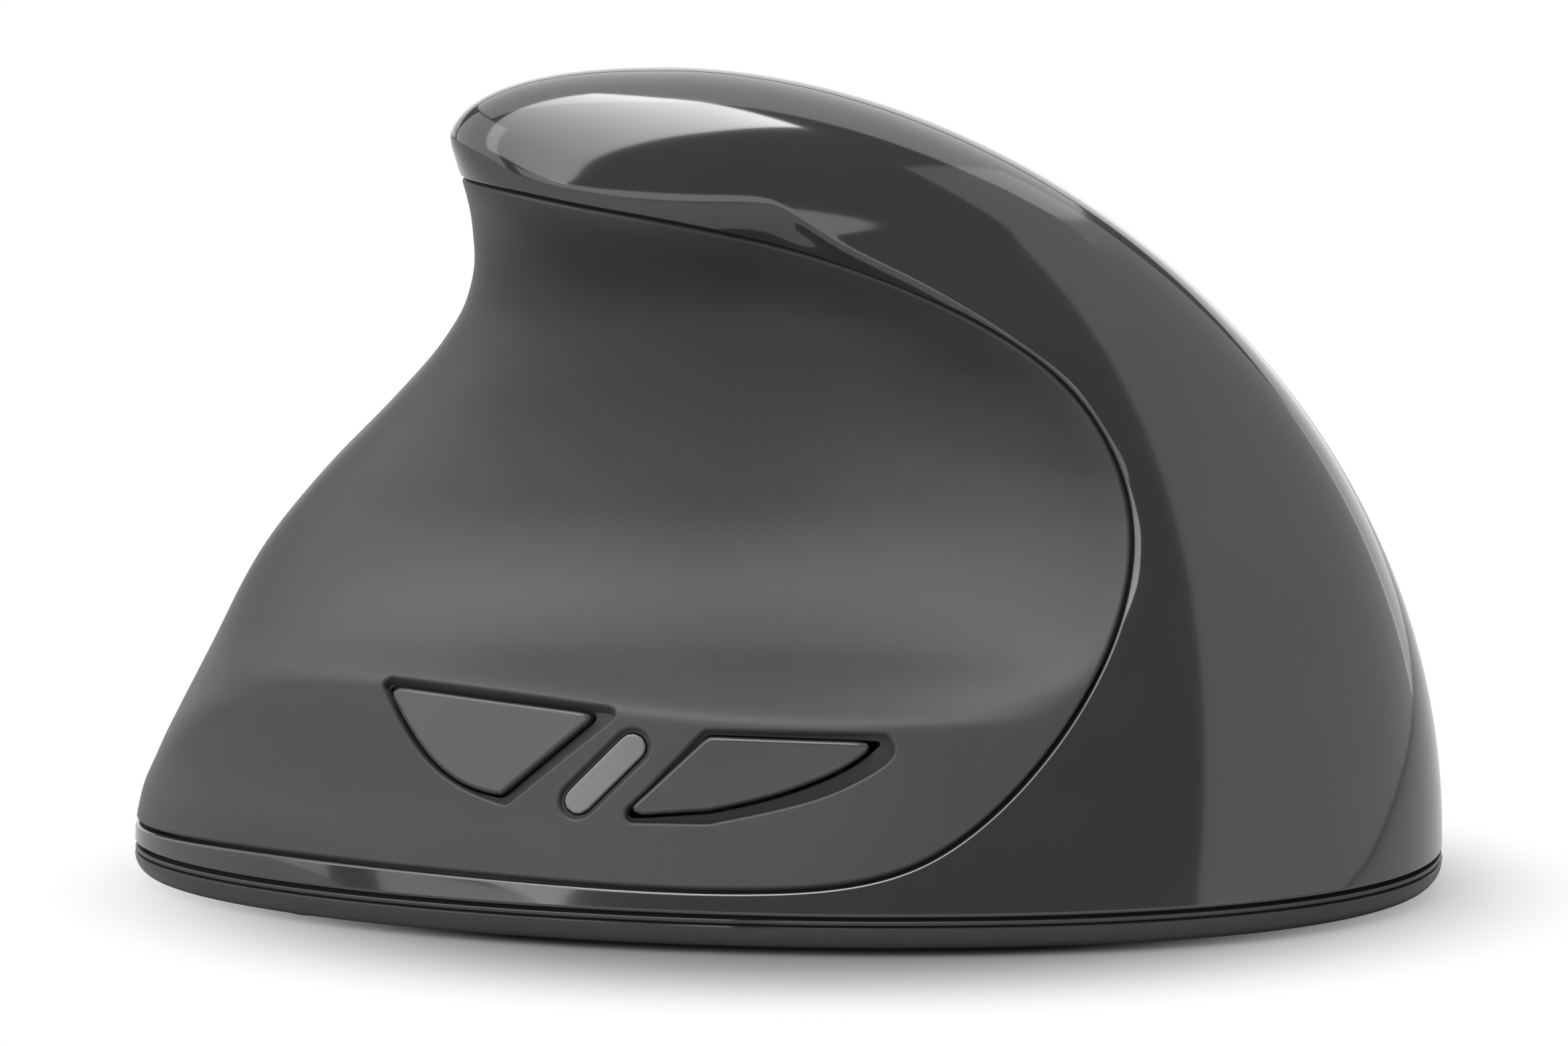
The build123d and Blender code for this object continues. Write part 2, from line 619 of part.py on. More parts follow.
processor_chip = block(sensor_x + 7.5, sensor_x + 12, -3.5, 2, chip_level, chip_level + 1.0)

# Power switch under the board, with a knob recessed in the tray
power_x = sensor_x + 3.0
power_y = -11.5
knob_x = power_x - power_travel / 2
knob_recess = foot_drop + 1.2
power_switch = block(power_x - 4.5, power_x + 4.5, power_y - 2, power_y + 2, floor_level, board_level)
power_switch -= block(power_x - 3.2, power_x + 3.2, power_y - 1.3, power_y + 1.3, floor_level, floor_level + 1.1)
power_knob = rounded_plate(knob_x - 2.2, knob_x + 2.2, power_y - 1.8, power_y + 1.8, foot_drop + 0.2,
                           knob_recess - 0.1, 0.8)
power_knob += block(knob_x - 1, knob_x + 1, power_y - 1, power_y + 1, knob_recess - 0.3, floor_level + 0.8)
base_tray -= rounded_plate(power_x - 4, power_x + 4, power_y - 2.3, power_y + 2.3, -1, knob_recess, 1.2)
base_tray -= block(power_x - 2.8, power_x + 2.8, power_y - 1.3, power_y + 1.3, 0, floor_level)

# Finger side: board parallel to the skin, on a frame that stands on the tray
axle_depth = -(wheel_radius - wheel_proud)
board_face = axle_depth - board_drop
board_back = board_face - board_thick
slot_half = math.sqrt(wheel_radius ** 2 - board_drop ** 2) + 1.2
cheek_inner = wheel_width / 2 + wheel_clearance + 0.15
switch_board = rounded_plate(board_rear, board_front, -17, 16, board_back, board_face, 1.0, finger)
switch_board += rounded_plate(board_front - 3, board_front + 6, -9, 5, board_back, board_face, 1.0, finger)
switch_board -= rounded_plate(-slot_half, slot_half, -cheek_inner - 0.4, cheek_inner + 0.4, board_back - 1,
                              board_face + 1, 1.0, finger)

rail_middle = finger * Pos(0, -15, board_back - rail_thick / 2)
rail_y, rail_z = rail_middle.position.Y, rail_middle.position.Z
leg_y = bay_y0 - bay_wall - 1.0
cell_top = cell_z + cell_radius
leg_spots = [(leg_y - 7.5, floor_level), (leg_y, floor_level), (leg_y, cell_top - 2), (rail_y + 2.5, rail_z - 2.5),
             (rail_y - 1, rail_z + 3), (leg_y - 7, cell_top - 3)]


def leg(local_x, thick):
    """Leg of the inner frame, a plate across the mouse."""
    x0 = wheel_x + local_x
    wire = Wire.make_polygon([Vector(x0, y, z) for y, z in leg_spots], close=True)
    return Solid.extrude(Face(wire), Vector(thick, 0, 0))


rear_rail, front_rail = board_rear + 1.0, board_front - 2.0
inner_frame = leg(rear_rail, 3.0) + leg(front_rail, 3.0)
inner_frame += block(rear_rail, rear_rail + 3, -16, 15, board_back - rail_thick, board_back, finger)
inner_frame += block(front_rail, front_rail + 3, -16, -cheek_inner - 1.5, board_back - rail_thick, board_back, finger)
inner_frame += block(wheel_x + rear_rail, wheel_x + front_rail + 3, leg_y - 7.5, leg_y - 5, floor_level,
                     floor_level + 6)
inner_frame = inner_frame & level_prism(lip_inset + lip_wall + frame_play, floor_level, 70)
inner_frame -= finger * Pos(0, 0, board_back + 20) * Box(120, 80, 40)

# Board screws of the switch board, in the frame's rails
for x, y in ((rear_rail + 1.5, -14.0), (rear_rail + 1.5, 13.6), (front_rail + 1.5, -14.0)):
    inner_frame -= disc(x, y, board_back - rail_thick - 1, board_back, 0.9, finger)
    switch_board -= disc(x, y, board_back - 1, board_face + 1, 0.9 + running_clearance, finger)
    board_screws.append(disc(x, y, board_face, board_face + 0.9, 1.7, finger)
                        + disc(x, y, board_back - rail_thick + 0.3, board_face, 0.85, finger))

# Pivot of the two main buttons: a rod through a bracket and through ears under the buttons
pivot_bracket = block(board_rear, -pivot_back + ear_half, -11, 11, board_face, board_face + 1.5, finger)
for side in (-1, 1):
    for near in bracket_sides:
        y0, y1 = sorted((side * near, side * (near + ear_thick)))
        pivot_bracket += block(-pivot_back - ear_half, -pivot_back + ear_half, y0, y1, board_face,
                               -pivot_depth + ear_half, finger)
pivot_bracket -= spindle(-pivot_back, -12, 12, -pivot_depth, pivot_radius + 0.05, finger)
rod_end = button_sides[1] + ear_thick + 0.7
pivot_rod = spindle(-pivot_back, -rod_end, rod_end, -pivot_depth, pivot_radius, finger)


def under(u, v):
    """Middle of the casing's wall over a spot of the finger side."""
    return skin_depth(finger, u, v) - shell_wall * 0.5


switch_top = board_face + micro_height + plunger_height


def main_button(piece, side):
    """Adds the pivot ears and the press post under a main button."""
    for near in button_sides:
        y0, y1 = sorted((side * near, side * (near + ear_thick)))
        top = under(-pivot_back, side * (near + ear_thick))
        piece += block(-pivot_back - ear_half, -pivot_back + ear_half, y0, y1, -pivot_depth - ear_half, top, finger)
    piece -= spindle(-pivot_back, -20, 20, -pivot_depth, pivot_radius + running_clearance, finger)
    top = under(-press_back, side * micro_side)
    piece += disc(-press_back, side * micro_side, switch_top + plunger_gap, top, 1.5, finger)
    return solid_of(piece)


left_button = main_button(left_button, 1)
right_button = main_button(right_button, -1)


def micro_switch(side):
    """Microswitch under a main button, its plunger below the press post."""
    x0 = -press_back - 4.0
    body_block = block(x0, x0 + micro_length, side * micro_side - micro_width / 2,
                       side * micro_side + micro_width / 2, board_face, board_face + micro_height, finger)
    plunger = block(-press_back - 1.5, -press_back + 1.5, side * micro_side - 0.7, side * micro_side + 0.7,
                    board_face + micro_height, switch_top, finger)
    return body_block + plunger


# Wheel in its rocking carrier
hub_radius = wheel_radius - tyre_thickness
wheel_half = wheel_width / 2
wheel_hub = spindle(0, -wheel_half, wheel_half, axle_depth, hub_radius, finger)
for side in (-1, 1):
    y0, y1 = sorted((side * (wheel_half - 1.5), side * (wheel_half + 1)))
    wheel_hub -= (spindle(0, y0, y1, axle_depth, hub_radius - 1.8, finger)
                  - spindle(0, y0, y1, axle_depth, axle_radius + 1.5, finger))
wheel_hub += spindle(0, -7.6, 9.0, axle_depth, axle_radius, finger)
wheel_tyre = (spindle(0, -wheel_half, wheel_half, axle_depth, wheel_radius, finger)
              - spindle(0, -wheel_half - 1, wheel_half + 1, axle_depth, hub_radius, finger))
for i in range(tread_count):
    turn = finger * Pos(0, 0, axle_depth) * Rot(0, 360 * i / tread_count, 0)
    wheel_tyre -= turn * Pos(0, 0, wheel_radius) * Box(0.7, wheel_width - 1.6, 1.0)
wheel_tyre = solid_of(wheel_tyre)

tab_low = board_face + 4.7
wheel_carrier = block(carrier_pivot - 2, 5.5, cheek_inner, cheek_inner + cheek, board_face + 1.5, axle_depth + 2.4, finger)
wheel_carrier += block(carrier_pivot - 2, 5.5, -cheek_inner - cheek, -cheek_inner, board_face + 1.5, axle_depth + 2.4,
                       finger)
wheel_carrier += block(carrier_pivot - 2, carrier_pivot + 1.3, -cheek_inner, cheek_inner, board_face + 1.5,
                       board_face + 4.5, finger)
wheel_carrier += block(2.3, 5.3, -cheek_inner - cheek - 3.2, -cheek_inner - cheek, tab_low, tab_low + 1.4, finger)
stub_end = cheek_inner + cheek + 2.3
for side in (-1, 1):
    y0, y1 = sorted((side * (cheek_inner + cheek), side * stub_end))
    wheel_carrier += spindle(carrier_pivot, y0, y1, pivot_low, 1.2, finger)
wheel_carrier -= spindle(0, -9, 12, axle_depth, axle_radius + running_clearance, finger)

carrier_mount = block(carrier_pivot - 5, carrier_pivot - 3, -stub_end, stub_end, board_face, board_face + 2.7, finger)
for side in (-1, 1):
    y0, y1 = sorted((side * (cheek_inner + cheek + 0.3), side * stub_end))
    carrier_mount += block(carrier_pivot - 3, carrier_pivot + 2, y0, y1, board_face, pivot_low + 2, finger)
carrier_mount -= spindle(carrier_pivot, -12, 12, pivot_low, 1.2 + running_clearance, finger)

encoder_y0 = cheek_inner + cheek
wheel_encoder = block(-5.5, 5.5, encoder_y0, encoder_y0 + 4.0, board_face + 1.3, axle_depth + 2.3, finger)
wheel_encoder -= spindle(0, encoder_y0 - 1, 9.0 + 0.3, axle_depth, axle_radius + running_clearance, finger)
click_switch = block(0.8, 6.8, -cheek_inner - cheek - 4.1, -cheek_inner - cheek - 0.6, board_face,
                     board_face + tact_height, finger)
click_switch += disc(3.8, -cheek_inner - cheek - 2.3, board_face + tact_height, tab_low - 0.5, 0.9, finger)

# Bezel of the wheel, its posts and the resolution button behind the wheel
wheel_bezel -= rounded_plate(-wheel_radius - 0.3, wheel_radius + 0.3, -wheel_half - wheel_clearance,
                             wheel_half + wheel_clearance, -9, 9, 1.0, finger)
wheel_bezel -= rounded_plate(dpi_x - dpi_half - 0.3, dpi_x + dpi_half + 0.3, -2.1, 2.1, -9, 9, 2.0, finger)
bezel_post_x = carrier_pivot - 4
for y in (-2.6, 2.6):
    wheel_bezel += disc(bezel_post_x, y, board_face + 2.7, under(bezel_post_x, y), 1.2, finger)
front_post_x = wheel_radius + 2.5
wheel_bezel += disc(front_post_x, 0, board_face, under(front_post_x, 0), 1.2, finger)
wheel_bezel = solid_of(wheel_bezel)
dpi_skin = skin_depth(finger, dpi_x, 0)
dpi_switch_top = board_face + tact_height + plunger_height
dpi_flange = dpi_skin - 1.3 * shell_wall - seam_gap
dpi_button = rounded_plate(dpi_x - dpi_half, dpi_x + dpi_half, -1.8, 1.8, dpi_flange - 1, dpi_skin + 0.4, 1.75,
                           finger)
dpi_button += rounded_plate(dpi_x - dpi_half - 0.8, dpi_x + dpi_half + 0.8, -2.6, 2.6, dpi_flange - 1, dpi_flange,
                            2.3, finger) & room
dpi_button += disc(dpi_x, 0, dpi_switch_top + dpi_travel + 0.1, dpi_flange - 0.5, 1.2, finger)
dpi_switch = block(dpi_x - 2.3, dpi_x + 2.3, -1.75, 1.75, board_face, board_face + tact_height, finger)
dpi_switch += disc(dpi_x, 0, board_face + tact_height, dpi_switch_top, 0.9, finger)

# Thumb buttons in their pockets, with the indicator lens between them
# Corners first, then the spots of the one curved side, seen square to the panel
forward_outline = ([(36.6, 23.4), (16.9, 20.5)],
                   [(25.5, 13.2), (28.4, 14.0), (32.1, 16.6), (35.0, 20.5)])
forward_pocket = ([(36.6, 24.3), (14.3, 21.0)],
                  [(24.9, 12.2), (28.7, 13.4), (32.5, 16.1), (35.5, 20.1), (37.3, 23.4)])
back_outline = ([(14.3, 11.2), (6.9, 18.4)],
                [(-8.1, 17.8), (-6.5, 16.4), (-2.6, 14.3), (1.8, 12.8), (6.6, 11.7)])
back_pocket = ([(15.5, 10.8), (7.3, 19.0)],
               [(-8.8, 18.6), (-9.6, 17.3), (-7.4, 14.8), (-0.9, 12.1), (6.5, 10.5)])
lens_angle = math.degrees(math.atan2(3.5, -3.4))


def depth_slab(frame, low, high):
    """All of the space between two depths of a frame."""
    return frame * Pos(0, 0, (low + high) / 2) * Box(90, 90, high - low)


def thumb_sketch(spots, radius, grow):
    """Rounded outline as seen from the thumb side, in the plane of the lens."""
    stretch_x, stretch_z = length / drawn_length, height / drawn_height
    corners, curved = [[(x * stretch_x, z * stretch_z) for x, z in part] for part in spots]
    side = Spline(*curved)
    spots = [side @ (k / thumb_side_steps) for k in range(thumb_side_steps + 1)]
    sketch = make_face(Polyline(*[(spot.X, spot.Y) for spot in spots], *corners, close=True))
    return offset(offset(sketch, -radius), radius + grow)


def thumb_prism(sketch, low, high):
    """Space of an outline between two depths along the thumb frame's normal."""
    face = (Plane.XZ.offset(-lens_y) * sketch).face()
    start = thumb_normal * (low - prism_spare)
    prism = Solid.extrude(face.moved(Location(start)), thumb_normal * (high - low + 2 * prism_spare))
    return prism & depth_slab(thumb, low, high)


def face_frame(spots):
    """Plane through three spots of the skin, facing out."""
    a, b, c = [Vector(x * length / drawn_length, side_y(x * length / drawn_length, z * height / drawn_height, 1),
                      z * height / drawn_height) for x, z in spots]
    normal = (b - a).cross(c - a).normalized()
    if normal.Y < 0:
        normal = normal * -1
    return Location(Plane(origin=a, x_dir=(1, 0, 0), z_dir=normal))


def thumb_spot(x, z):
    """Place in the thumb frame's own plane of a spot seen from the thumb side."""
    local = (thumb.inverse() * Pos(x * length / drawn_length, lens_y, z * height / drawn_height)).position
    return local.X, local.Y


forward_spot, back_spot = thumb_spot(26.7, 18.4), thumb_spot(3.2, 15.3)
forward_lip, back_lip = thumb_spot(26.1, 13.0), thumb_spot(8.2, 11.5)
lip_ends = [(u + side * lip_half, v + lip_reach) for u, v in (forward_lip, back_lip) for side in (-1, 1)]
lip_top = 0.3 + max(-skin_depth(thumb, u, v, shell_wall) for u, v in lip_ends)
lip_bottom = lip_top + lip_thick
stem_end = lip_bottom + stem_drop
thumb_board_face = stem_end + thumb_travel + 0.1 + plunger_height + tact_height
forward_face = face_frame([(33.6, 21.0), (18.0, 19.6), (26.0, 13.6)])
back_face = face_frame([(12.6, 12.6), (6.6, 17.8), (-6.5, 17.3)])


def thumb_button(outline, frame, centre, lip):
    """A thumb button: flat face, a lip behind the panel at its lower edge and a stem above its switch."""
    piece = thumb_prism(thumb_sketch(outline, tile_round, 0), -lip_bottom, 6) & depth_slab(frame, -20, -face_inset)
    piece += block(lip[0] - lip_half, lip[0] + lip_half, lip[1] - 3, lip[1] + lip_reach, -lip_bottom, -lip_top, thumb)
    piece += block(centre[0] - 2, centre[0] + 2, centre[1] - 2, centre[1] + 2, -stem_end, -lip_bottom + 0.5, thumb)
    return solid_of(piece)


forward_button = thumb_button(forward_outline, forward_face, forward_spot, forward_lip)
back_button = thumb_button(back_outline, back_face, back_spot, back_lip)


def lens_capsule(radius, low, high):
    sketch = (Pos(lens_x + lens_shift, lens_level) * Rot(0, 0, lens_angle)
              * SlotCenterToCenter(lens_run, 2 * radius))
    return thumb_prism(sketch, low, high)


for outline, pocket, frame in ((forward_outline, forward_pocket, forward_face),
                               (back_outline, back_pocket, back_face)):
    thumb_panel -= thumb_prism(thumb_sketch(pocket, pocket_round, 0), -8, 8) & depth_slab(frame, -pocket_depth, 20)
    thumb_panel -= thumb_prism(thumb_sketch(outline, tile_round, hole_clearance), -8, 8)
thumb_panel -= lens_capsule(lens_radius + lens_rim, -lens_rim_depth, prism_spare)
thumb_panel -= lens_capsule(lens_radius + lens_play, -prism_spare, prism_spare)
thumb_panel = solid_of(thumb_panel)
indicator_lens = solid_of(lens_capsule(lens_radius, -thumb_board_face + led_height + 0.2, -0.1))

thumb_board = rounded_plate(back_spot[0] - 7, forward_spot[0] + 7, -5.5, 6.0, -thumb_board_face - board_thick,
                            -thumb_board_face, 1.0, thumb)


def tact_switch(spot):
    """Small square switch below a thumb button's stem."""
    u, v = spot
    half = tact_side / 2
    base = block(u - half, u + half, v - half, v + half, -thumb_board_face, -thumb_board_face + tact_height, thumb)
    return base + disc(u, v, -thumb_board_face + tact_height,
                       -thumb_board_face + tact_height + plunger_height, 1.6, thumb)


indicator_led = block(-1.6, 1.6, -1.4, 1.4, -thumb_board_face, -thumb_board_face + led_height, thumb)
bracket_back = thumb_board_face + board_thick
thumb_bracket = block(back_spot[0] - 5, forward_spot[0] + 5, -5, 5.5, -bracket_back - 1.8, -bracket_back, thumb)
thumb_bracket += block(-3, 9, 0, 14, -bracket_back - 1.8, -bracket_back, thumb)
bracket_foot = (thumb * Pos(3, 11, -bracket_back - 1)).position
thumb_bracket += block(bracket_foot.X - 6, bracket_foot.X + 6, bracket_foot.Y - 2, bracket_foot.Y + 4, 0,
                       floor_level + 1.5)
thumb_bracket = solid_of(thumb_bracket & level_prism(lip_inset + lip_wall + frame_play, floor_level, 60))

# Flat cables between the boards


def flat_cable(x0, x1, spots, thick=0.4):
    """Flat strip across x0..x1 along spots of the (y, z) plane."""
    sides = []
    for shift in (thick / 2, -thick / 2):
        line = []
        for i, (y, z) in enumerate(spots):
            a = spots[max(i - 1, 0)]
            b = spots[min(i + 1, len(spots) - 1)]
            size = math.hypot(b[0] - a[0], b[1] - a[1])
            line.append((y - shift * (b[1] - a[1]) / size, z + shift * (b[0] - a[0]) / size))
        sides.append(line)
    wire = Wire.make_polygon([Vector(x0, y, z) for y, z in sides[0] + sides[1][::-1]], close=True)
    return Solid.extrude(Face(wire), Vector(x1 - x0, 0, 0))


cable_end = (finger * Pos(0, -12.5, board_back - 0.3)).position
cable_x0 = wheel_x + front_rail + 4.0
board_cable = flat_cable(cable_x0, cable_x0 + 3.0, [(-12.0, chip_level + 0.3), (-14.2, chip_level + 3), (-14.6, 16),
                                                    (-13.6, 23), (cable_end.Y, cable_end.Z)])
# Everything is written out
pieces = {
    "top_shell": top_shell, "thumb_panel": thumb_panel, "left_button": left_button, "right_button": right_button,
    "wheel_bezel": wheel_bezel, "base_tray": solid_of(base_tray), "battery_door": battery_door,
    "forward_button": forward_button, "back_button": back_button, "indicator_lens": indicator_lens,
    "dpi_button": dpi_button, "power_knob": power_knob, "inner_frame": solid_of(inner_frame),
    "switch_board": switch_board, "left_switch": micro_switch(1), "right_switch": micro_switch(-1),
    "pivot_bracket": pivot_bracket, "pivot_rod": pivot_rod, "carrier_mount": carrier_mount,
    "wheel_carrier": wheel_carrier, "wheel_hub": wheel_hub, "wheel_tyre": wheel_tyre, "wheel_encoder": wheel_encoder,
    "click_switch": click_switch, "dpi_switch": dpi_switch, "thumb_board": thumb_board,
    "thumb_bracket": thumb_bracket, "forward_switch": tact_switch(forward_spot), "back_switch": tact_switch(back_spot),
    "indicator_led": indicator_led, "main_board": main_board, "sensor_chip": sensor_chip,
    "sensor_lens": sensor_lens, "processor_chip": processor_chip, "power_switch": power_switch, "battery": battery,
    "contact_plate": contact_plate, "contact_spring": contact_spring, "receiver_grip": receiver_grip,
    "receiver_plug": receiver_plug, "board_cable": board_cable,
}
pieces.update(foot_solids)
for name, piece in pieces.items():
    keep(name, piece)
keep("case_screws", Compound(children=[solid_of(s) for s in case_screws]))
keep("board_screws", Compound(children=[solid_of(s) for s in board_screws]))

spot = (finger * Pos(-pivot_back, 0, -pivot_depth)).position
click_spot = (finger * Pos(carrier_pivot, 0, pivot_low)).position
axle_spot = (finger * Pos(0, 0, axle_depth)).position
print("finger normal", finger_normal, "up", up_slope, "thumb normal", thumb_normal)
print("button pivot", spot, "click pivot", click_spot, "axle", axle_spot)
print("lips", lip_top, "switch board of the thumb", thumb_board_face)
print("receiver", receiver_x, slot_level, "door", bay_x0, bay_x1, bay_y0, bay_y1, "board", board_x0, board_level)
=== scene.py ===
# %% [markdown]
# # A vertical mouse
# The mouse stands on a pale studio floor and is seen from the side of the thumb. Its whole skin is
# one smooth form, which the makers cut into a gloss shell, a soft thumb panel and several buttons.
# So this file works out the form once, as a grid of points, and cuts every outer piece from it.
# Lengths are in millimetres until a mesh is made. X points forward, Y to the thumb, Z up.

# %% Load the model that carries every piece
import math
import bpy
import numpy as np
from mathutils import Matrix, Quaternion, Vector


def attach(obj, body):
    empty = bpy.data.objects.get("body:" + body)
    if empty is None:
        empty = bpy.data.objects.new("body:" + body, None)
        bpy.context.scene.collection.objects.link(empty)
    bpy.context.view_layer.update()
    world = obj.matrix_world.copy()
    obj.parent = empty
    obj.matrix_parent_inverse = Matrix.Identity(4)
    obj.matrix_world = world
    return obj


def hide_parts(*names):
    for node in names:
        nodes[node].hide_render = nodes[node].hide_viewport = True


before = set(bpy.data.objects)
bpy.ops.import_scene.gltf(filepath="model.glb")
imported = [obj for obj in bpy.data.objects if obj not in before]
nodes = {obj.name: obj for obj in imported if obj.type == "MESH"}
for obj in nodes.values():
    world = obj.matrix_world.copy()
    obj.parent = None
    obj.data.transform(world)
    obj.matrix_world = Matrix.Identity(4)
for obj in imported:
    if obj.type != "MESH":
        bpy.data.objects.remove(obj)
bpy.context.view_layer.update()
print("pieces in the frame:", len(nodes))

# %% [markdown]
# ## The form
# The body is drawn level by level. At each level an outer oval is given by how far it reaches to the
# rear, the front, the thumb and the fingers, and the thumb scoop is a second line that bites into
# it. Smooth curves through a few (level, reach) pairs give those reaches, so the form can be
# adjusted a number at a time. A sculpted mesh would be quicker to start and harder to keep exact.

# %% Smooth curves through measured points
def curve(points):
    """Cubic pieces through (level, reach) points. The slope at a point is the weighted harmonic
    mean of the slopes beside it, and zero at a turn, so the curve never overshoots."""
    x, y = np.array(points, float).T
    gap = np.diff(x)
    slope = np.diff(y) / gap
    before, after = slope[:-1], slope[1:]
    safe_before = np.where(before == 0, 1, before)
    safe_after = np.where(after == 0, 1, after)
    mean = 3 * (gap[:-1] + gap[1:]) / ((2 * gap[1:] + gap[:-1]) / safe_before
                                       + (gap[1:] + 2 * gap[:-1]) / safe_after)
    tangent = np.concatenate([slope[:1], np.where(before * after > 0, mean, 0), slope[-1:]])

    def reach(at):
        at = np.clip(at, x[0], x[-1])
        i = np.clip(np.searchsorted(x, at, side="right") - 1, 0, len(gap) - 1)
        t = (at - x[i]) / gap[i]
        return (y[i] * (1 + 2 * t) * (1 - t) ** 2 + tangent[i] * gap[i] * t * (1 - t) ** 2
                + y[i + 1] * t * t * (3 - 2 * t) + tangent[i + 1] * gap[i] * t * t * (t - 1))
    return reach


def arch(u, n):
    """Height of a rounded arch over u from -1 to 1: (1 - |u|^n)^(1/n)."""
    return (1 - np.clip(np.abs(u), 0, 1) ** n) ** (1 / n)


height = 75.0
belt = 4.0
peak_x, peak_y = 10.4, 4.0
nose_x, nose_level = 30.5, 66.8
crown_level, crown_lean = 61.0, 9.5
widest_x = -8.0
half_length, half_width = 60.0, 30.5
hull_front = curve([(0, 60), (4, 60), (8.5, 59.2), (11.4, 58.1), (15, 57.2), (20, 56.2), (30, 53),
                    (40, 48), (50, 41.5), (57, 35.8), (62, 32), (nose_level, nose_x)])
scoop_front = curve([(4, 64), (8.5, 60.4), (11.4, 58.2), (13.5, 57), (17.5, 54.9), (21.5, 52.8),
                     (30.2, 48.2), (36.7, 43), (44, 35.9), (49.1, 31.5), (53.4, 29.1), (57, 28.4),
                     (59.9, 28.6), (64.4, 30), (67, 31.8), (70, 35), (75, 42)])
scoop_side = curve([(11, 62), (16, 36), (18, 29.5), (19.4, 26.2), (20.5, 23.9), (22, 21), (25, 15.6),
                    (30, 10.2), (36, 6.9), (45, 5), (52, 5.5), (55, 6.7), (58, 9.2), (60, 11.5),
                    (61.4, 13.4), (63, 16), (67, 22), (72, 30), (76, 40)])
scoop_turn = curve([(11, 24), (20, 25), (25, 14), (30, 9), (40, 6), (50, 6), (60, 5), (70, 4)])
scoop_middle = curve([(10, 2), (30, 0), (50, -3), (60, -3), (70, 0)])
scoop_exit = curve([(19.4, -14), (20, -18.5), (22.8, -25), (25.3, -27.8), (29.3, -30), (32.5, -30.9),
                    (35, -31), (39, -30.2), (43, -28), (47.5, -24.4), (51, -19.8), (53, -16.8),
                    (56, -11.4), (58, -7), (60, -2.8), (61.4, -0.6), (63, 0.5)])
scoop_fullness = curve([(11, 1.6), (19, 1.65), (22, 1.9), (30, 2.1), (45, 2.4), (60, 2.2)])
spine_x = curve([(4, -5), (20, -12), (47, -14), (60, -2), (66, 4), (75, peak_x)])
spine_y = curve([(4, 0), (20, -3), (35, -8), (47, -8), (57, -4), (66, 0), (75, peak_y)])
front_seam = curve([(-8, -8), (5, -9), (30, -12), (45, -13), (57, -9), (66, -3.5), (90, 8)])


# %% The outline at one level
def reaches(z):
    """How far the outer oval reaches to the rear, front, thumb and fingers at a level, and the
    rise: 0 at the belt above the base, 1 at the top. The rear and the fingers' side are arches of
    the rise. The front follows its curve to the nose, and an arch closes it above."""
    rise = min(max((z - belt) / (height - belt), 0.0), 1.0)
    rear = peak_x - (peak_x + half_length) * arch(rise, 1.97 - 0.10 * rise)
    front = hull_front(z)
    if z > nose_level:
        front = peak_x + (nose_x - peak_x) * arch((z - nose_level) / (height - nose_level), 2.5)
    if z > crown_level:
        lean = crown_lean * arch((z - crown_level) / (height - crown_level), 2.0)
    else:
        fall = min(1.0, (crown_level - z) / (crown_level - belt))
        lean = crown_lean + (half_width - peak_y - crown_lean) * fall ** 1.1
    fingers = peak_y - (peak_y + half_width) * arch(rise, 1.75)
    return rear, front, peak_y + lean, fingers, rise


def thumb_turn(rise):
    """X of the widest place on the thumb side. It moves to the peak with rise^1.5."""
    return widest_x + (peak_x - widest_x) * rise ** 1.5


def quadrant(cx, cy, reach_x, reach_y, n, start, end, steps=60):
    """A quarter of a superellipse: centre plus reach times cos^(2/n) and sin^(2/n)."""
    a = np.linspace(start, end, steps)
    return np.array([cx + reach_x * np.abs(np.cos(a)) ** (2 / n),
                     cy + reach_y * np.abs(np.sin(a)) ** (2 / n)])


def oval(z, inset=0.0):
    """Outer oval of a level: four quadrants that meet on the axes of the oval."""
    rear, front, thumb, fingers, rise = reaches(z)
    rear, front, thumb, fingers = rear + inset, front - inset, thumb - inset, fingers + inset
    turn_thumb = thumb_turn(rise)
    turn_finger = peak_x * rise ** 1.5
    middle = peak_y * rise
    q = math.pi / 2
    parts = [quadrant(turn_thumb, middle, front - turn_thumb, thumb - middle, 1.8 + 0.4 * rise, 0, q),
             quadrant(turn_thumb, middle, rear - turn_thumb, thumb - middle, 2.3 - 0.1 * rise, q, 0),
             quadrant(turn_finger, middle, rear - turn_finger, fingers - middle, 2.3 - 0.1 * rise, 0, q),
             quadrant(turn_finger, middle, front - turn_finger, fingers - middle, 2.1, q, 0)]
    return np.concatenate([p[:, :-1] for p in parts], axis=1)


def scoop(z):
    """The scoop's wall at a level: round the front, along the thumb side, and out again in a
    flare that grows with the power 2.4 of the way to where the wall leaves the body."""
    front, side = scoop_front(z), scoop_side(z)
    turn, middle, leave, n = scoop_turn(z), scoop_middle(z), scoop_exit(z), scoop_fullness(z)
    rear, _, thumb, fingers, rise = reaches(z)
    q = math.pi / 2
    nose = quadrant(front - 14, middle, 14, fingers - 4 - middle, 2.2, q, 0)
    wall = quadrant(turn, middle, front - turn, side - middle, n, 0, q)
    turn_thumb = thumb_turn(rise)
    u = (turn_thumb - leave) / (turn_thumb - rear)
    out_y = peak_y * rise + (thumb - peak_y * rise) * arch(u, 2.3 - 0.1 * rise)
    t = np.linspace(0, 1.25, 60)
    flare = np.array([turn - t * (turn - leave),
                      side + max(out_y - side, 0.5) * t ** 2.4 + 3 * np.maximum(t - 1, 0)])
    return np.concatenate([nose[:, :-1], wall[:, :-1], flare], axis=1)


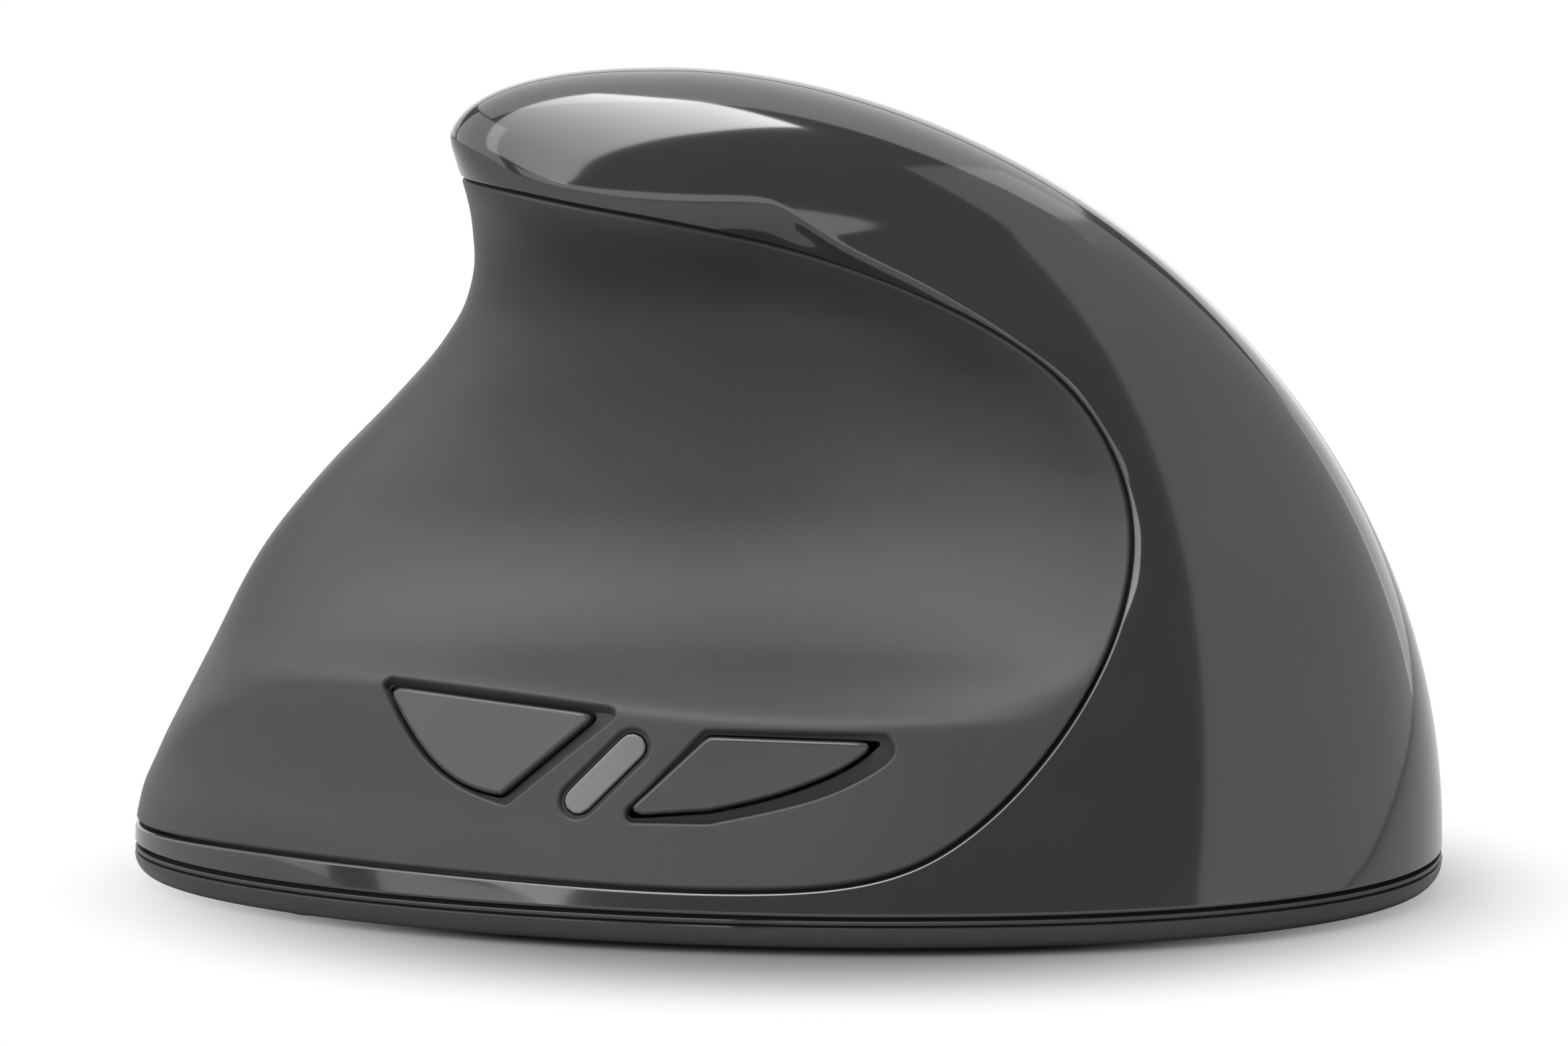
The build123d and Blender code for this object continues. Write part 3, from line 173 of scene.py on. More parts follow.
def spokes(line, cx, cy, angles, closed):
    """How far a line lies from the spine (cx, cy) along each angle, by interpolation. An angle
    that the line doesn't reach gets a large distance."""
    a = np.unwrap(np.arctan2(line[1] - cy, line[0] - cx))
    r = np.hypot(line[0] - cx, line[1] - cy)
    if closed:
        a, r = np.append(a, a[0] + 2 * math.pi), np.append(r, r[0])
    turned = (angles - a[0]) % (2 * math.pi) + a[0]
    return np.where(turned <= a[-1], np.interp(turned, a, r), 1000.0)


columns = 560
scoop_low, scoop_high = 8, 69


def level_ring(z, inset=0.0):
    """One closed ring of the skin. The radius is the softened minimum of the oval's and the
    scoop's: min(r, s) - max(b - |r - s|, 0)^2 / 4b. The width b of the soft corner grows from 0.9
    at the ledge to 4.5 at the top. The points are spaced evenly round the ring."""
    cx, cy = spine_x(z), spine_y(z)
    angles = math.pi + np.linspace(0, 2 * math.pi, 1441)
    r = spokes(oval(z, inset), cx, cy, angles, True)
    if scoop_low < z < scoop_high:
        s = spokes(scoop(z), cx, cy, angles, False)
        b = 0.9 + 3.6 * min(max((z - 22) / 38, 0), 1)
        r = np.minimum(r, s) - np.maximum(b - np.abs(r - s), 0) ** 2 / (4 * b)
    x, y = cx + r * np.cos(angles), cy + r * np.sin(angles)
    run = np.concatenate([[0], np.cumsum(np.hypot(np.diff(x), np.diff(y)))])
    at = np.linspace(0, run[-1], columns + 1)[:-1]
    return np.stack([np.interp(at, run, x), np.interp(at, run, y), np.full(columns, float(z))], axis=1)


# %% [markdown]
# ## The skin as a grid
# The rings are stacked closer together where the form turns fast: at the ledge above the thumb
# buttons and towards the top. A few passes of averaging with the neighbours take out the tiny kinks
# that a gloss surface would show at once. The direction that each point faces is kept as well,
# because rounded edges and wall thickness are both measured along it.

# %% Stack the rings and smooth them
edge_radius = 0.3
tray_top = 3.6
ledge_low, ledge_high, cap_low = 13, 27, 65
cap_levels = cap_low + (height - cap_low) * np.sin(np.linspace(0, math.pi / 2, 46))
levels = np.concatenate([np.arange(tray_top + edge_radius, ledge_low, 0.5),
                         np.arange(ledge_low, ledge_high, 0.25),
                         np.arange(ledge_high, cap_low, 0.48), cap_levels])
rings = [level_ring(z) for z in levels[:-1]]
rings.append(np.tile([peak_x, peak_y, height], (columns, 1)))
skin = np.array(rings)


def smoothed(grid, passes):
    """Averages each point with its four neighbours, with weights 1, 2, 1 each way. The first and
    the last ring stay, so the base and the top keep their places."""
    for _ in range(passes):
        grid = (np.roll(grid, 1, 1) + 2 * grid + np.roll(grid, -1, 1)) / 4
        inner = (grid[:-2] + 2 * grid[1:-1] + grid[2:]) / 4
        grid = np.concatenate([grid[:1], inner, grid[-1:]])
    return grid


def facing(grid):
    """Outward direction at each grid point: the cross product of the steps along and up."""
    along = np.roll(grid, -1, 1) - np.roll(grid, 1, 1)
    up = np.gradient(grid, axis=0)
    out = np.cross(along, up)
    size = np.linalg.norm(out, axis=2, keepdims=True)
    out = np.where(size > 1e-9, out / np.maximum(size, 1e-9), [0.0, 0.0, 1.0])
    out[-1] = [0, 0, 1]
    return out


skin = smoothed(skin, 4)
skin_out = facing(skin)
print("skin grid:", skin.shape[0], "rings of", columns)

# %% [markdown]
# ## Cutting pieces from the skin
# A seam is written as a field: a signed distance that is negative inside a piece. Where the field
# crosses zero, the grid squares are cut through, so the edge follows the seam and not the squares.
# Then the edge is rolled over and carried down the wall, and an inner skin closes the piece, so each
# piece is a moulding with a real wall. A boolean in Blender would do this too, but it leaves long
# slivers that show in a gloss surface.

# %% Cut a grid along a field
def cut(points, out, field):
    """The part of a grid where the field is below zero: points, directions and faces. On a grid
    line that the field crosses, the new point is at f0 / (f0 - f1) of the way."""
    rows, cols = field.shape
    inside = field < 0
    ids = np.arange(rows * cols).reshape(rows, cols)
    ids[-1] = ids[-1, 0]
    across = inside != np.roll(inside, -1, 1)
    across[-1] = False
    upward = inside[:-1] != inside[1:]
    across_id = np.full((rows, cols), -1)
    across_id[across] = rows * cols + np.arange(across.sum())
    upward_id = np.full((rows - 1, cols), -1)
    upward_id[upward] = rows * cols + across.sum() + np.arange(upward.sum())

    def between(grid):
        right = np.roll(grid, -1, 1)
        t = (field / np.where(across, field - np.roll(field, -1, 1), 1))[across][:, None]
        s = (field[:-1] / np.where(upward, field[:-1] - field[1:], 1))[upward][:, None]
        return np.concatenate([grid.reshape(-1, 3), grid[across] * (1 - t) + right[across] * t,
                               grid[:-1][upward] * (1 - s) + grid[1:][upward] * s])

    def corner(of, kept):
        return np.where(kept, of, -1)

    next_ids, next_inside = np.roll(ids, -1, 1), np.roll(inside, -1, 1)
    a, b = corner(ids[:-1], inside[:-1]), corner(next_ids[:-1], next_inside[:-1])
    c, d = corner(next_ids[1:], next_inside[1:]), corner(ids[1:], inside[1:])
    d[-1] = -1
    around = np.stack([a, across_id[:-1], b, np.roll(upward_id, -1, 1),
                       c, across_id[1:], d, upward_id], axis=2).reshape(-1, 8)
    order = np.argsort(around < 0, axis=1, kind="stable")
    around = np.take_along_axis(around, order, axis=1)
    count = (around >= 0).sum(axis=1)
    faces = [around[count == n, :n] for n in range(3, 9) if (count == n).any()]
    used, flat = np.unique(np.concatenate([f.ravel() for f in faces]), return_inverse=True)
    sizes = np.cumsum([0] + [f.size for f in faces])
    faces = [flat[i:j].reshape(f.shape) for f, i, j in zip(faces, sizes[:-1], sizes[1:])]
    turned = between(out)[used]
    return between(points)[used], turned / np.linalg.norm(turned, axis=1, keepdims=True), faces


def open_edges(faces, count):
    """Edges that only one face uses, each in the direction of its face."""
    pairs = np.concatenate([np.stack([f, np.roll(f, -1, 1)], axis=2).reshape(-1, 2) for f in faces])
    key, back = pairs[:, 0] * count + pairs[:, 1], pairs[:, 1] * count + pairs[:, 0]
    return pairs[~np.isin(key, back)]


# %% Make a mesh and a piece with a rolled edge and a wall
def mesh_object(name, points, faces, out=None):
    """An object from arrays: points in millimetres, faces grouped by their number of corners."""
    mesh = bpy.data.meshes.new(name)
    corners = np.concatenate([f.ravel() for f in faces]).astype(np.int32)
    totals = np.concatenate([np.full(len(f), f.shape[1]) for f in faces])
    mesh.vertices.add(len(points))
    mesh.vertices.foreach_set("co", (np.asarray(points) * 0.001).ravel())
    mesh.loops.add(len(corners))
    mesh.loops.foreach_set("vertex_index", corners)
    mesh.polygons.add(len(totals))
    mesh.polygons.foreach_set("loop_start", (np.cumsum(totals) - totals).astype(np.int32))
    mesh.polygons.foreach_set("use_smooth", np.ones(len(totals), bool))
    mesh.update(calc_edges=True)
    if out is not None:
        mesh.normals_split_custom_set_from_vertices(out)
    piece = bpy.data.objects.new(name, mesh)
    bpy.context.scene.collection.objects.link(piece)
    return piece


def moulding(name, field, wall=2.0, radius=edge_radius, points=None, out=None):
    """A piece of the skin where the field is below zero. Its edge is a quarter round of the given
    radius: out r sin a and down r (1 - cos a). The wall goes down to its thickness, and an inner
    skin, the outer one moved in along its own directions, closes it."""
    points = skin if points is None else points
    out = skin_out if out is None else out
    top, top_out, faces = cut(points, out, field + radius)
    edges = open_edges(faces, len(top))
    rim, flat = np.unique(edges.ravel(), return_inverse=True)
    edges = flat.reshape(-1, 2)
    ahead, behind = np.zeros(len(rim), int), np.zeros(len(rim), int)
    ahead[edges[:, 0]], behind[edges[:, 1]] = edges[:, 1], edges[:, 0]
    place, up = top[rim], top_out[rim]
    side = np.cross(place[ahead] - place[behind], up)
    for _ in range(3):
        side = side / np.maximum(np.linalg.norm(side, axis=1, keepdims=True), 1e-9)
        side = side[behind] + 2 * side + side[ahead]
    side -= up * (side * up).sum(axis=1, keepdims=True)
    side /= np.maximum(np.linalg.norm(side, axis=1, keepdims=True), 1e-9)
    layers, layers_out = [top], [top_out]
    for a in np.radians([22.5, 45, 67.5, 90]):
        layers.append(place + radius * (math.sin(a) * side - (1 - math.cos(a)) * up))
        layers_out.append(math.cos(a) * up + math.sin(a) * side)
    layers.append(place + radius * side - wall * up)
    layers_out.append(side)
    layers.append(top - wall * top_out)
    layers_out.append(-top_out)
    starts = np.cumsum([0] + [len(layer) for layer in layers[:-1]])
    rows = [rim] + [start + np.arange(len(rim)) for start in starts[1:-1]] + [starts[-1] + rim]
    i, j = edges.T
    strips = [np.stack([upper[j], upper[i], lower[i], lower[j]], axis=1)
              for upper, lower in zip(rows[:-1], rows[1:])]
    inner = [f[:, ::-1] + starts[-1] for f in faces]
    return mesh_object(name, np.concatenate(layers), faces + strips + inner, np.concatenate(layers_out))


# %% [markdown]
# ## Seams
# The panel's seam is drawn as it is seen from the thumb side, and a second seam runs down the front.
# A line drawn on a picture plane is stretched where the skin slopes away, so each distance is
# divided by how much the skin faces along it. That keeps the gap between two pieces even all round.

# %% Distances to lines drawn on a plane
def smooth_line(points, steps=14):
    """Natural cubic spline through points, with the distance between them as its parameter."""
    p = np.array(points, float)
    h = np.linalg.norm(np.diff(p, axis=0), axis=1)
    n = len(p)
    system, right = np.eye(n), np.zeros((n, 2))
    rows = np.arange(1, n - 1)
    system[rows, rows - 1], system[rows, rows + 1] = h[:-1], h[1:]
    system[rows, rows] = 2 * (h[:-1] + h[1:])
    right[1:-1] = 3 * (np.diff(p[1:], axis=0) / h[1:, None] - np.diff(p[:-1], axis=0) / h[:-1, None])
    c = np.linalg.solve(system, right)
    t = (np.arange(steps) / steps)[None, :, None] * h[:, None, None]
    slope = np.diff(p, axis=0) / h[:, None] - h[:, None] * (2 * c[:-1] + c[1:]) / 3
    cube = (c[1:] - c[:-1]) / (3 * h[:, None])
    line = p[:-1, None] + slope[:, None] * t + c[:-1, None] * t ** 2 + cube[:, None] * t ** 3
    return np.concatenate([line.reshape(-1, 2), p[-1:]])


def rounded(points, radius, steps=7):
    """A polygon with each corner replaced by an arc that touches both its sides."""
    p = np.array(points, float)
    to_before, to_after = np.roll(p, 1, 0) - p, np.roll(p, -1, 0) - p
    size_before, size_after = np.linalg.norm(to_before, axis=1), np.linalg.norm(to_after, axis=1)
    to_before, to_after = to_before / size_before[:, None], to_after / size_after[:, None]
    half = np.arccos(np.clip((to_before * to_after).sum(axis=1), -1, 1)) / 2
    reach = np.minimum(radius / np.tan(half), 0.48 * np.minimum(size_before, size_after))
    middle = (to_before + to_after) / np.linalg.norm(to_before + to_after, axis=1)[:, None]
    centre = p + middle * (reach / np.cos(half))[:, None]
    start, end = p + to_before * reach[:, None] - centre, p + to_after * reach[:, None] - centre
    a0 = np.arctan2(start[:, 1], start[:, 0])
    turn = (np.arctan2(end[:, 1], end[:, 0]) - a0 + math.pi) % (2 * math.pi) - math.pi
    a = a0[:, None] + turn[:, None] * np.linspace(0, 1, steps)
    r = np.linalg.norm(start, axis=1)[:, None]
    return np.stack([centre[:, :1] + r * np.cos(a), centre[:, 1:] + r * np.sin(a)], axis=2).reshape(-1, 2)


far = 50.0


def outline_distance(p, outline, near=None):
    """Signed distance of points on a plane to a closed outline, negative inside, and the
    direction in which it grows. A point is inside where a ray crosses the outline an odd number
    of times. Points that near leaves out are given a large distance."""
    p = np.asarray(p, float)
    distance, way = np.full(len(p), far), np.tile([0.0, 1.0], (len(p), 1))
    chosen = np.arange(len(p)) if near is None else np.flatnonzero(near)
    a, b = outline, np.roll(outline, -1, 0)
    step = b - a
    size2 = np.maximum((step ** 2).sum(axis=1), 1e-12)
    for block in np.array_split(chosen, len(chosen) // 3000 + 1):
        q = p[block][:, None] - a
        t = np.clip((q * step).sum(axis=2) / size2, 0, 1)
        off = q - t[..., None] * step
        d2 = (off ** 2).sum(axis=2)
        best = d2.argmin(axis=1)
        rows = np.arange(len(block))
        d, off = np.sqrt(d2[rows, best]), off[rows, best]
        x, y = p[block][:, 0][:, None], p[block][:, 1][:, None]
        part = (y - a[:, 1]) / np.where(step[:, 1] == 0, 1, step[:, 1])
        crosses = ((a[:, 1] > y) != (b[:, 1] > y)) & (x < a[:, 0] + part * step[:, 0])
        sign = np.where(crosses.sum(axis=1) % 2 == 1, -1.0, 1.0)
        distance[block] = d * sign
        way[block] = off / np.maximum(d, 1e-9)[:, None] * sign[:, None]
    return distance, way


def on_skin(distance, direction):
    """A distance across space turned into one along the skin: divided by the sine of the angle
    between its direction and the skin's."""
    lean = (direction * skin_out).sum(axis=-1)
    return distance / np.sqrt(np.maximum(1 - lean ** 2, 0.08))


# %% The seam round the thumb panel
panel_seam = [(75, 64.6), (44, 64.8), (30, 64.8), (25, 64.3), (19.6, 63.4), (12, 62.1), (5.8, 60.8),
              (-1.8, 58.8), (-8.8, 56.5), (-15.6, 53.6), (-20.5, 50.8), (-24.6, 47.4), (-27.7, 43.2),
              (-29.5, 38.8), (-30.1, 34.6), (-29.4, 29.6), (-26.6, 22.9), (-22.2, 16.7), (-16.8, 11.5),
              (-11.2, 8.1), (-5.2, 6.5), (1.6, 5.9), (14, 5.8), (27.8, 6.1), (42, 6.3), (53.2, 6.1),
              (60, 5.7), (75, 5.2)]
seam_gap = 0.35
flat_skin = skin.reshape(-1, 3)
seam_d, seam_way = outline_distance(flat_skin[:, [0, 2]], smooth_line(panel_seam),
                                    flat_skin[:, 1] > front_seam(flat_skin[:, 2]) - 6)
seam_way = np.stack([seam_way[:, 0], np.zeros(len(seam_way)), seam_way[:, 1]], axis=1)
side_field = on_skin(seam_d.reshape(skin.shape[:2]), seam_way.reshape(skin.shape))
front_field = on_skin(front_seam(skin[..., 2]) - skin[..., 1], np.array([0.0, 1.0, 0.0]))
panel_field = np.maximum(side_field, front_field)
print("share of the skin under the panel:", round(float((panel_field < 0).mean()), 3))

# %% The openings of the finger side
wheel_x, finger_origin = 14.0, np.array([14.0, -20.832, 47.0])
up_slope, finger_out = np.array([0, 0.388096, 0.921619]), np.array([0, -0.921619, 0.388096])
finger_u = skin[..., 0] - wheel_x
finger_v = (skin - finger_origin) @ up_slope
finger_w = (skin - finger_origin) @ finger_out


def rounded_box(u, v, low, high, radius):
    """Signed distance to a rectangle with rounded corners, on two coordinates."""
    low, high = np.array(low), np.array(high)
    q = np.abs(np.stack([u, v], axis=-1) - (low + high) / 2) - (high - low) / 2 + radius
    return np.linalg.norm(np.maximum(q, 0), axis=-1) + np.minimum(q.max(axis=-1), 0) - radius


def strip(low, high, grow, front_gap, depth=12.0):
    """Field of a strip of the finger side, between two heights up the slope. It ends at the front
    seam and at a depth below the middle of the finger side."""
    box = rounded_box(finger_u, finger_v, [-30 - grow, low - grow], [60, high + grow], 2.0 + grow)
    deep = on_skin(-depth - finger_w, finger_out)
    front = on_skin(skin[..., 1] - front_seam(skin[..., 2]), np.array([0.0, 1.0, 0.0])) + front_gap
    return np.maximum(np.maximum(box, deep), front)


bezel_half, button_gap, front_gap = 4.4, 0.4, 1.25
keys_low, keys_high = -20.5, 21.0
left_field = strip(bezel_half + button_gap, keys_high, 0, front_gap)
right_field = strip(keys_low, -bezel_half - button_gap, 0, front_gap)
bezel_field = strip(-bezel_half, bezel_half, 0, seam_gap)
opening_field = strip(keys_low, keys_high, button_gap, 0, 12.9)

# %% [markdown]
# ## Thumb buttons
# Each thumb button is a flat gloss tile that stands in a shallow pocket, with a slanted lens between
# the two. Their outlines are drawn as seen square to the skin there: the straight corners first,
# then the points of the one curved side. A tile is cut from the same grid, pressed flat onto its
# plane, and its pocket keeps a least gap to it all round, which shows as a dark line.

# %% Outlines of the tiles, the pockets and the lens
lens_x, lens_y, lens_z = 15.7, 24.698, 15.1
thumb_out = np.array([0.173125, 0.951361, 0.254834])
forward_outline = ([(36.6, 23.4), (16.9, 20.5)],
                   [(25.5, 13.2), (28.4, 14.0), (32.1, 16.6), (35.0, 20.5)])
forward_pocket = ([(36.6, 24.3), (14.3, 21.0)],
                  [(24.9, 12.3), (28.6, 13.7), (32.4, 16.4), (35.3, 20.3), (37.0, 23.4)])
back_outline = ([(14.3, 11.2), (6.9, 18.4)],
                [(-8.1, 17.8), (-6.5, 16.4), (-2.6, 14.3), (1.8, 12.8), (6.6, 11.7)])
back_pocket = ([(14.8, 10.7), (7.2, 19.0)],
               [(-8.8, 18.6), (-9.6, 17.3), (-7.4, 14.8), (-0.9, 12.1), (6.5, 10.5)])
tile_round, pocket_round = 0.35, 0.7
drop = (skin[..., 1] - lens_y) / thumb_out[1]
seen = np.stack([skin[..., 0] - drop * thumb_out[0], skin[..., 2] - drop * thumb_out[2]], axis=-1)
near_thumb = ((np.abs(seen[..., 0] - 14) < 28) & (np.abs(seen[..., 1] - 16) < 11) & (skin[..., 1] > 5)
              & (skin[..., 0] < 50))


def seen_field(outline, radius):
    """Field of an outline seen along the direction square to the lens: its corners first, then the
    points of its one curved side, and each corner rounded with an arc."""
    corners, curved = outline
    line = np.concatenate([smooth_line(curved, 6), corners])
    d, _ = outline_distance(seen.reshape(-1, 2), rounded(line, radius), near_thumb.ravel())
    return d.reshape(drop.shape)


forward_tile, back_tile = seen_field(forward_outline, tile_round), seen_field(back_outline, tile_round)
least_gap = 0.22
forward_hole = np.minimum(seen_field(forward_pocket, pocket_round), forward_tile - least_gap)
back_hole = np.minimum(seen_field(back_pocket, pocket_round), back_tile - least_gap)
slant = math.atan2(3.5, -3.4)
lens_way = np.array([math.cos(slant), math.sin(slant)])
lens_shift, lens_run, lens_radius = 0.3, 6.6, 1.25
from_lens = seen - [lens_x + lens_shift, lens_z]
past_end = np.abs(from_lens @ lens_way) - lens_run / 2
off_axis = from_lens[..., 0] * lens_way[1] - from_lens[..., 1] * lens_way[0]
lens_line = np.where(near_thumb, np.hypot(off_axis, np.maximum(past_end, 0)), far)


# %% [markdown]
# Each tile is flat, though the skin under it is slightly round. So a plane is laid through three
# places of the skin near the tile's corners, and the grid is slid onto it along one direction, which
# keeps every outline as it was drawn.

# %% Planes of the two tiles
def skin_y(x, z):
    """Y of the skin on the thumb side above a place of the picture plane: the nearest grid point,
    moved by the slope of the skin there."""
    side = skin[..., 1] > 5
    miss = np.where(side, (skin[..., 0] - x) ** 2 + (skin[..., 2] - z) ** 2, 1e9)
    k, i = np.unravel_index(miss.argmin(), miss.shape)
    p, n = skin[k, i], skin_out[k, i]
    return p[1] - (n[0] * (x - p[0]) + n[2] * (z - p[2])) / n[1]


def tile_plane(spots):
    """Plane through three places of the skin: a point on it and the direction that it faces."""
    a, b, c = [np.array([x, skin_y(x, z), z]) for x, z in spots]
    n = np.cross(b - a, c - a)
    n /= np.linalg.norm(n)
    return a, n if n[1] > 0 else -n


def pressed(plane, below):
    """The grid moved along the direction square to the lens until it lies on a plane."""
    a, n = plane
    s = (-below - (skin - a) @ n) / (thumb_out @ n)
    return skin + s[..., None] * thumb_out, np.broadcast_to(n, skin.shape)


forward_plane = tile_plane([(33.6, 21.0), (18.0, 19.6), (26.0, 13.6)])
back_plane = tile_plane([(12.6, 12.6), (6.6, 17.8), (-6.5, 17.3)])
pocket_depth = 1.3
print("tiles face", forward_plane[1].round(2), back_plane[1].round(2))


# %% [markdown]
# ## Plastics
# All the plastics are dark and nearly neutral. What tells them apart is how they scatter light: the
# shell is polished, the panel has a soft rubbery coat with a very fine grain, and the tray is a
# plain moulded satin. Each has a little unevenness in its roughness and its height, as mouldings
# have, so that its reflections are not those of a perfect surface.

# %% Shader helpers
def node_of(tree, kind, place, **inputs):
    """Adds a shader node at a place of the editor and sets its sockets by name."""
    node = tree.nodes.new(kind)
    node.location = place
    for name, value in inputs.items():
        node.inputs[name.replace("_", " ")].default_value = value
    return node


def plastic(name, color, roughness, uneven, grain_size, grain_height, spread=0.12, coat=0.0, sheen=0.0):
    """A moulded plastic. Noise on the object's own coordinates varies the colour and the roughness
    slowly, and a second, finer noise raises the grain of the surface."""
    material = bpy.data.materials.new(name)
    material.use_nodes = True
    tree = material.node_tree
    shader = tree.nodes["Principled BSDF"]
    shader.inputs["IOR"].default_value = 1.5
    shader.inputs["Coat Weight"].default_value = coat
    shader.inputs["Coat Roughness"].default_value = 0.06
    shader.inputs["Sheen Weight"].default_value = sheen
    shader.inputs["Sheen Roughness"].default_value = 0.45
    where = node_of(tree, "ShaderNodeTexCoord", (-1100, 0))
    slow = node_of(tree, "ShaderNodeTexNoise", (-850, 150), Scale=55.0, Detail=4.0, Roughness=0.55)
    fine = node_of(tree, "ShaderNodeTexNoise", (-850, -200),
                   Scale=1.0 / grain_size, Detail=3.0, Roughness=0.6)
    for noise in (slow, fine):
        tree.links.new(where.outputs["Object"], noise.inputs["Vector"])
    tint = node_of(tree, "ShaderNodeValToRGB", (-550, 350))
    tint.color_ramp.elements[0].position, tint.color_ramp.elements[1].position = 0.3, 0.7
    tint.color_ramp.elements[0].color = (*[c * (1 - spread) for c in color], 1)
    tint.color_ramp.elements[1].color = (*[c * (1 + spread) for c in color], 1)
    tree.links.new(slow.outputs["Fac"], tint.inputs["Fac"])
    tree.links.new(tint.outputs["Color"], shader.inputs["Base Color"])
    rough = node_of(tree, "ShaderNodeMapRange", (-550, 50),
                    To_Min=roughness - uneven, To_Max=roughness + uneven)
    tree.links.new(slow.outputs["Fac"], rough.inputs["Value"])
    tree.links.new(rough.outputs["Result"], shader.inputs["Roughness"])
    bump = node_of(tree, "ShaderNodeBump", (-300, -200), Strength=1.0, Distance=grain_height)
    tree.links.new(fine.outputs["Fac"], bump.inputs["Height"])
    tree.links.new(bump.outputs["Normal"], shader.inputs["Normal"])
    return material


gloss_black = plastic("polished shell plastic", (0.022, 0.0222, 0.0226), 0.11, 0.02, 0.004, 0.000004,
                      coat=1.0)
tile_black = plastic("polished tile plastic", (0.043, 0.0432, 0.0438), 0.2, 0.02, 0.003, 0.000004)
soft_black = plastic("soft touch coat", (0.031, 0.0313, 0.0318), 0.52, 0.04, 0.00022, 0.00001, sheen=0.08)
satin_black = plastic("satin tray plastic", (0.03, 0.0303, 0.031), 0.34, 0.05, 0.0004, 0.000012)
dark_satin = plastic("dark trim plastic", (0.02, 0.0202, 0.0206), 0.3, 0.04, 0.0004, 0.00001)
pocket_black = plastic("pocket floor plastic", (0.02, 0.0202, 0.0205), 0.45, 0.04, 0.0003, 0.00001)
lens_grey = plastic("frosted lens", (0.15, 0.152, 0.155), 0.2, 0.04, 0.0008, 0.00001)
frame_grey = plastic("glass filled frame plastic", (0.09, 0.09, 0.092), 0.5, 0.06, 0.0005, 0.00002)
white_part = plastic("white moulded plastic", (0.66, 0.66, 0.64), 0.4, 0.05, 0.0005, 0.00001, 0.04)
glide_film = plastic("slippery glide film", (0.018, 0.018, 0.0185), 0.35, 0.05, 0.0006, 0.00001)
board_green = plastic("solder mask", (0.015, 0.12, 0.05), 0.28, 0.05, 0.0009, 0.00002)
chip_black = plastic("moulded chip case", (0.02, 0.02, 0.021), 0.5, 0.05, 0.0002, 0.00001)
tyre_rubber = plastic("wheel tyre rubber", (0.022, 0.022, 0.0225), 0.62, 0.06, 0.0003, 0.00002)
cell_paint = plastic("cell jacket", (0.06, 0.07, 0.09), 0.3, 0.04, 0.002, 0.00001)
cable_film = plastic("flat cable film", (0.62, 0.6, 0.55), 0.35, 0.05, 0.001, 0.00001, 0.05)


def metal(name, color, roughness):
    """Bright metal with a little unevenness in its roughness, from noise."""
    material = plastic(name, color, roughness, 0.06, 0.0006, 0.00001, 0.06)
    material.node_tree.nodes["Principled BSDF"].inputs["Metallic"].default_value = 1.0
    return material


screw_steel = metal("plated screw steel", (0.5, 0.5, 0.51), 0.32)
spring_steel = metal("spring steel", (0.62, 0.61, 0.58), 0.28)
plug_steel = metal("bright plug steel", (0.68, 0.68, 0.69), 0.2)


def finish(piece, material, body, slot, *stands_for):
    """Gives a piece its material and its body, and hides the model's nodes that it stands for. The slot is
    not used.
    """
    piece.data.materials.clear()
    piece.data.materials.append(material)
    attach(piece, body)
    if stands_for:
        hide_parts(*stands_for)
    return piece


# %% [markdown]
# ## The shell pieces
# The shell keeps the skin outside the panel and the finger opening, and at the rear end a slot is
# cut for the receiver. The greatest of several fields is what all of them have in common, so a hole
# is made by adding the hole's own field with its sign turned round.

# %% Gloss shell
slot_y, slot_z = (-11.25, 3.25), (4.4, 9.3)
slot_field = rounded_box(skin[..., 1], skin[..., 2], [slot_y[0], slot_z[0]], [slot_y[1], slot_z[1]], 0.9)
slot_field = np.maximum(slot_field, skin[..., 0] + 40)
shell_field = np.maximum.reduce([seam_gap - panel_field, -opening_field, -slot_field])
shell = moulding("gloss_shell", shell_field)
finish(shell, gloss_black, "casing", "gloss_shell", "top_shell")

# %% [markdown]
# The panel is one piece of the skin with a rubbery coat. It gives room to the two pockets and to the
# lens. A lip behind its seam carries its edge on the real mouse and closes the view into the case.

# %% Soft thumb panel
floor_room = [np.maximum(hole, -((skin - plane[0]) @ plane[1] + pocket_depth))
              for hole, plane in ((forward_hole, forward_plane), (back_hole, back_plane))]
lens_room = lens_radius + 0.45 - lens_line
panel = moulding("soft_panel", np.maximum.reduce([panel_field, -floor_room[0], -floor_room[1], lens_room]))
finish(panel, soft_black, "casing", "soft_panel", "thumb_panel")

# %% Lip behind the panel's seam
lip_half, lip_wall, lip_depth, lip_end = 1.0, 0.8, 2.0, 3.0
lip_field = np.maximum(np.abs(side_field - seam_gap / 2) - lip_half, front_field + lip_end)
seam_lip = moulding("seam_lip", lip_field, lip_wall, 0.1, skin - lip_depth * skin_out)
finish(seam_lip, pocket_black, "casing", "dark_plastic")

# %% [markdown]
# The floor of a pocket is a trim of its own, laid parallel to the tile and a little deeper, with a
# hole that the tile passes through. The lens is a small capsule in a dark seat ring. Cut this way,
# none of them needs a boolean.

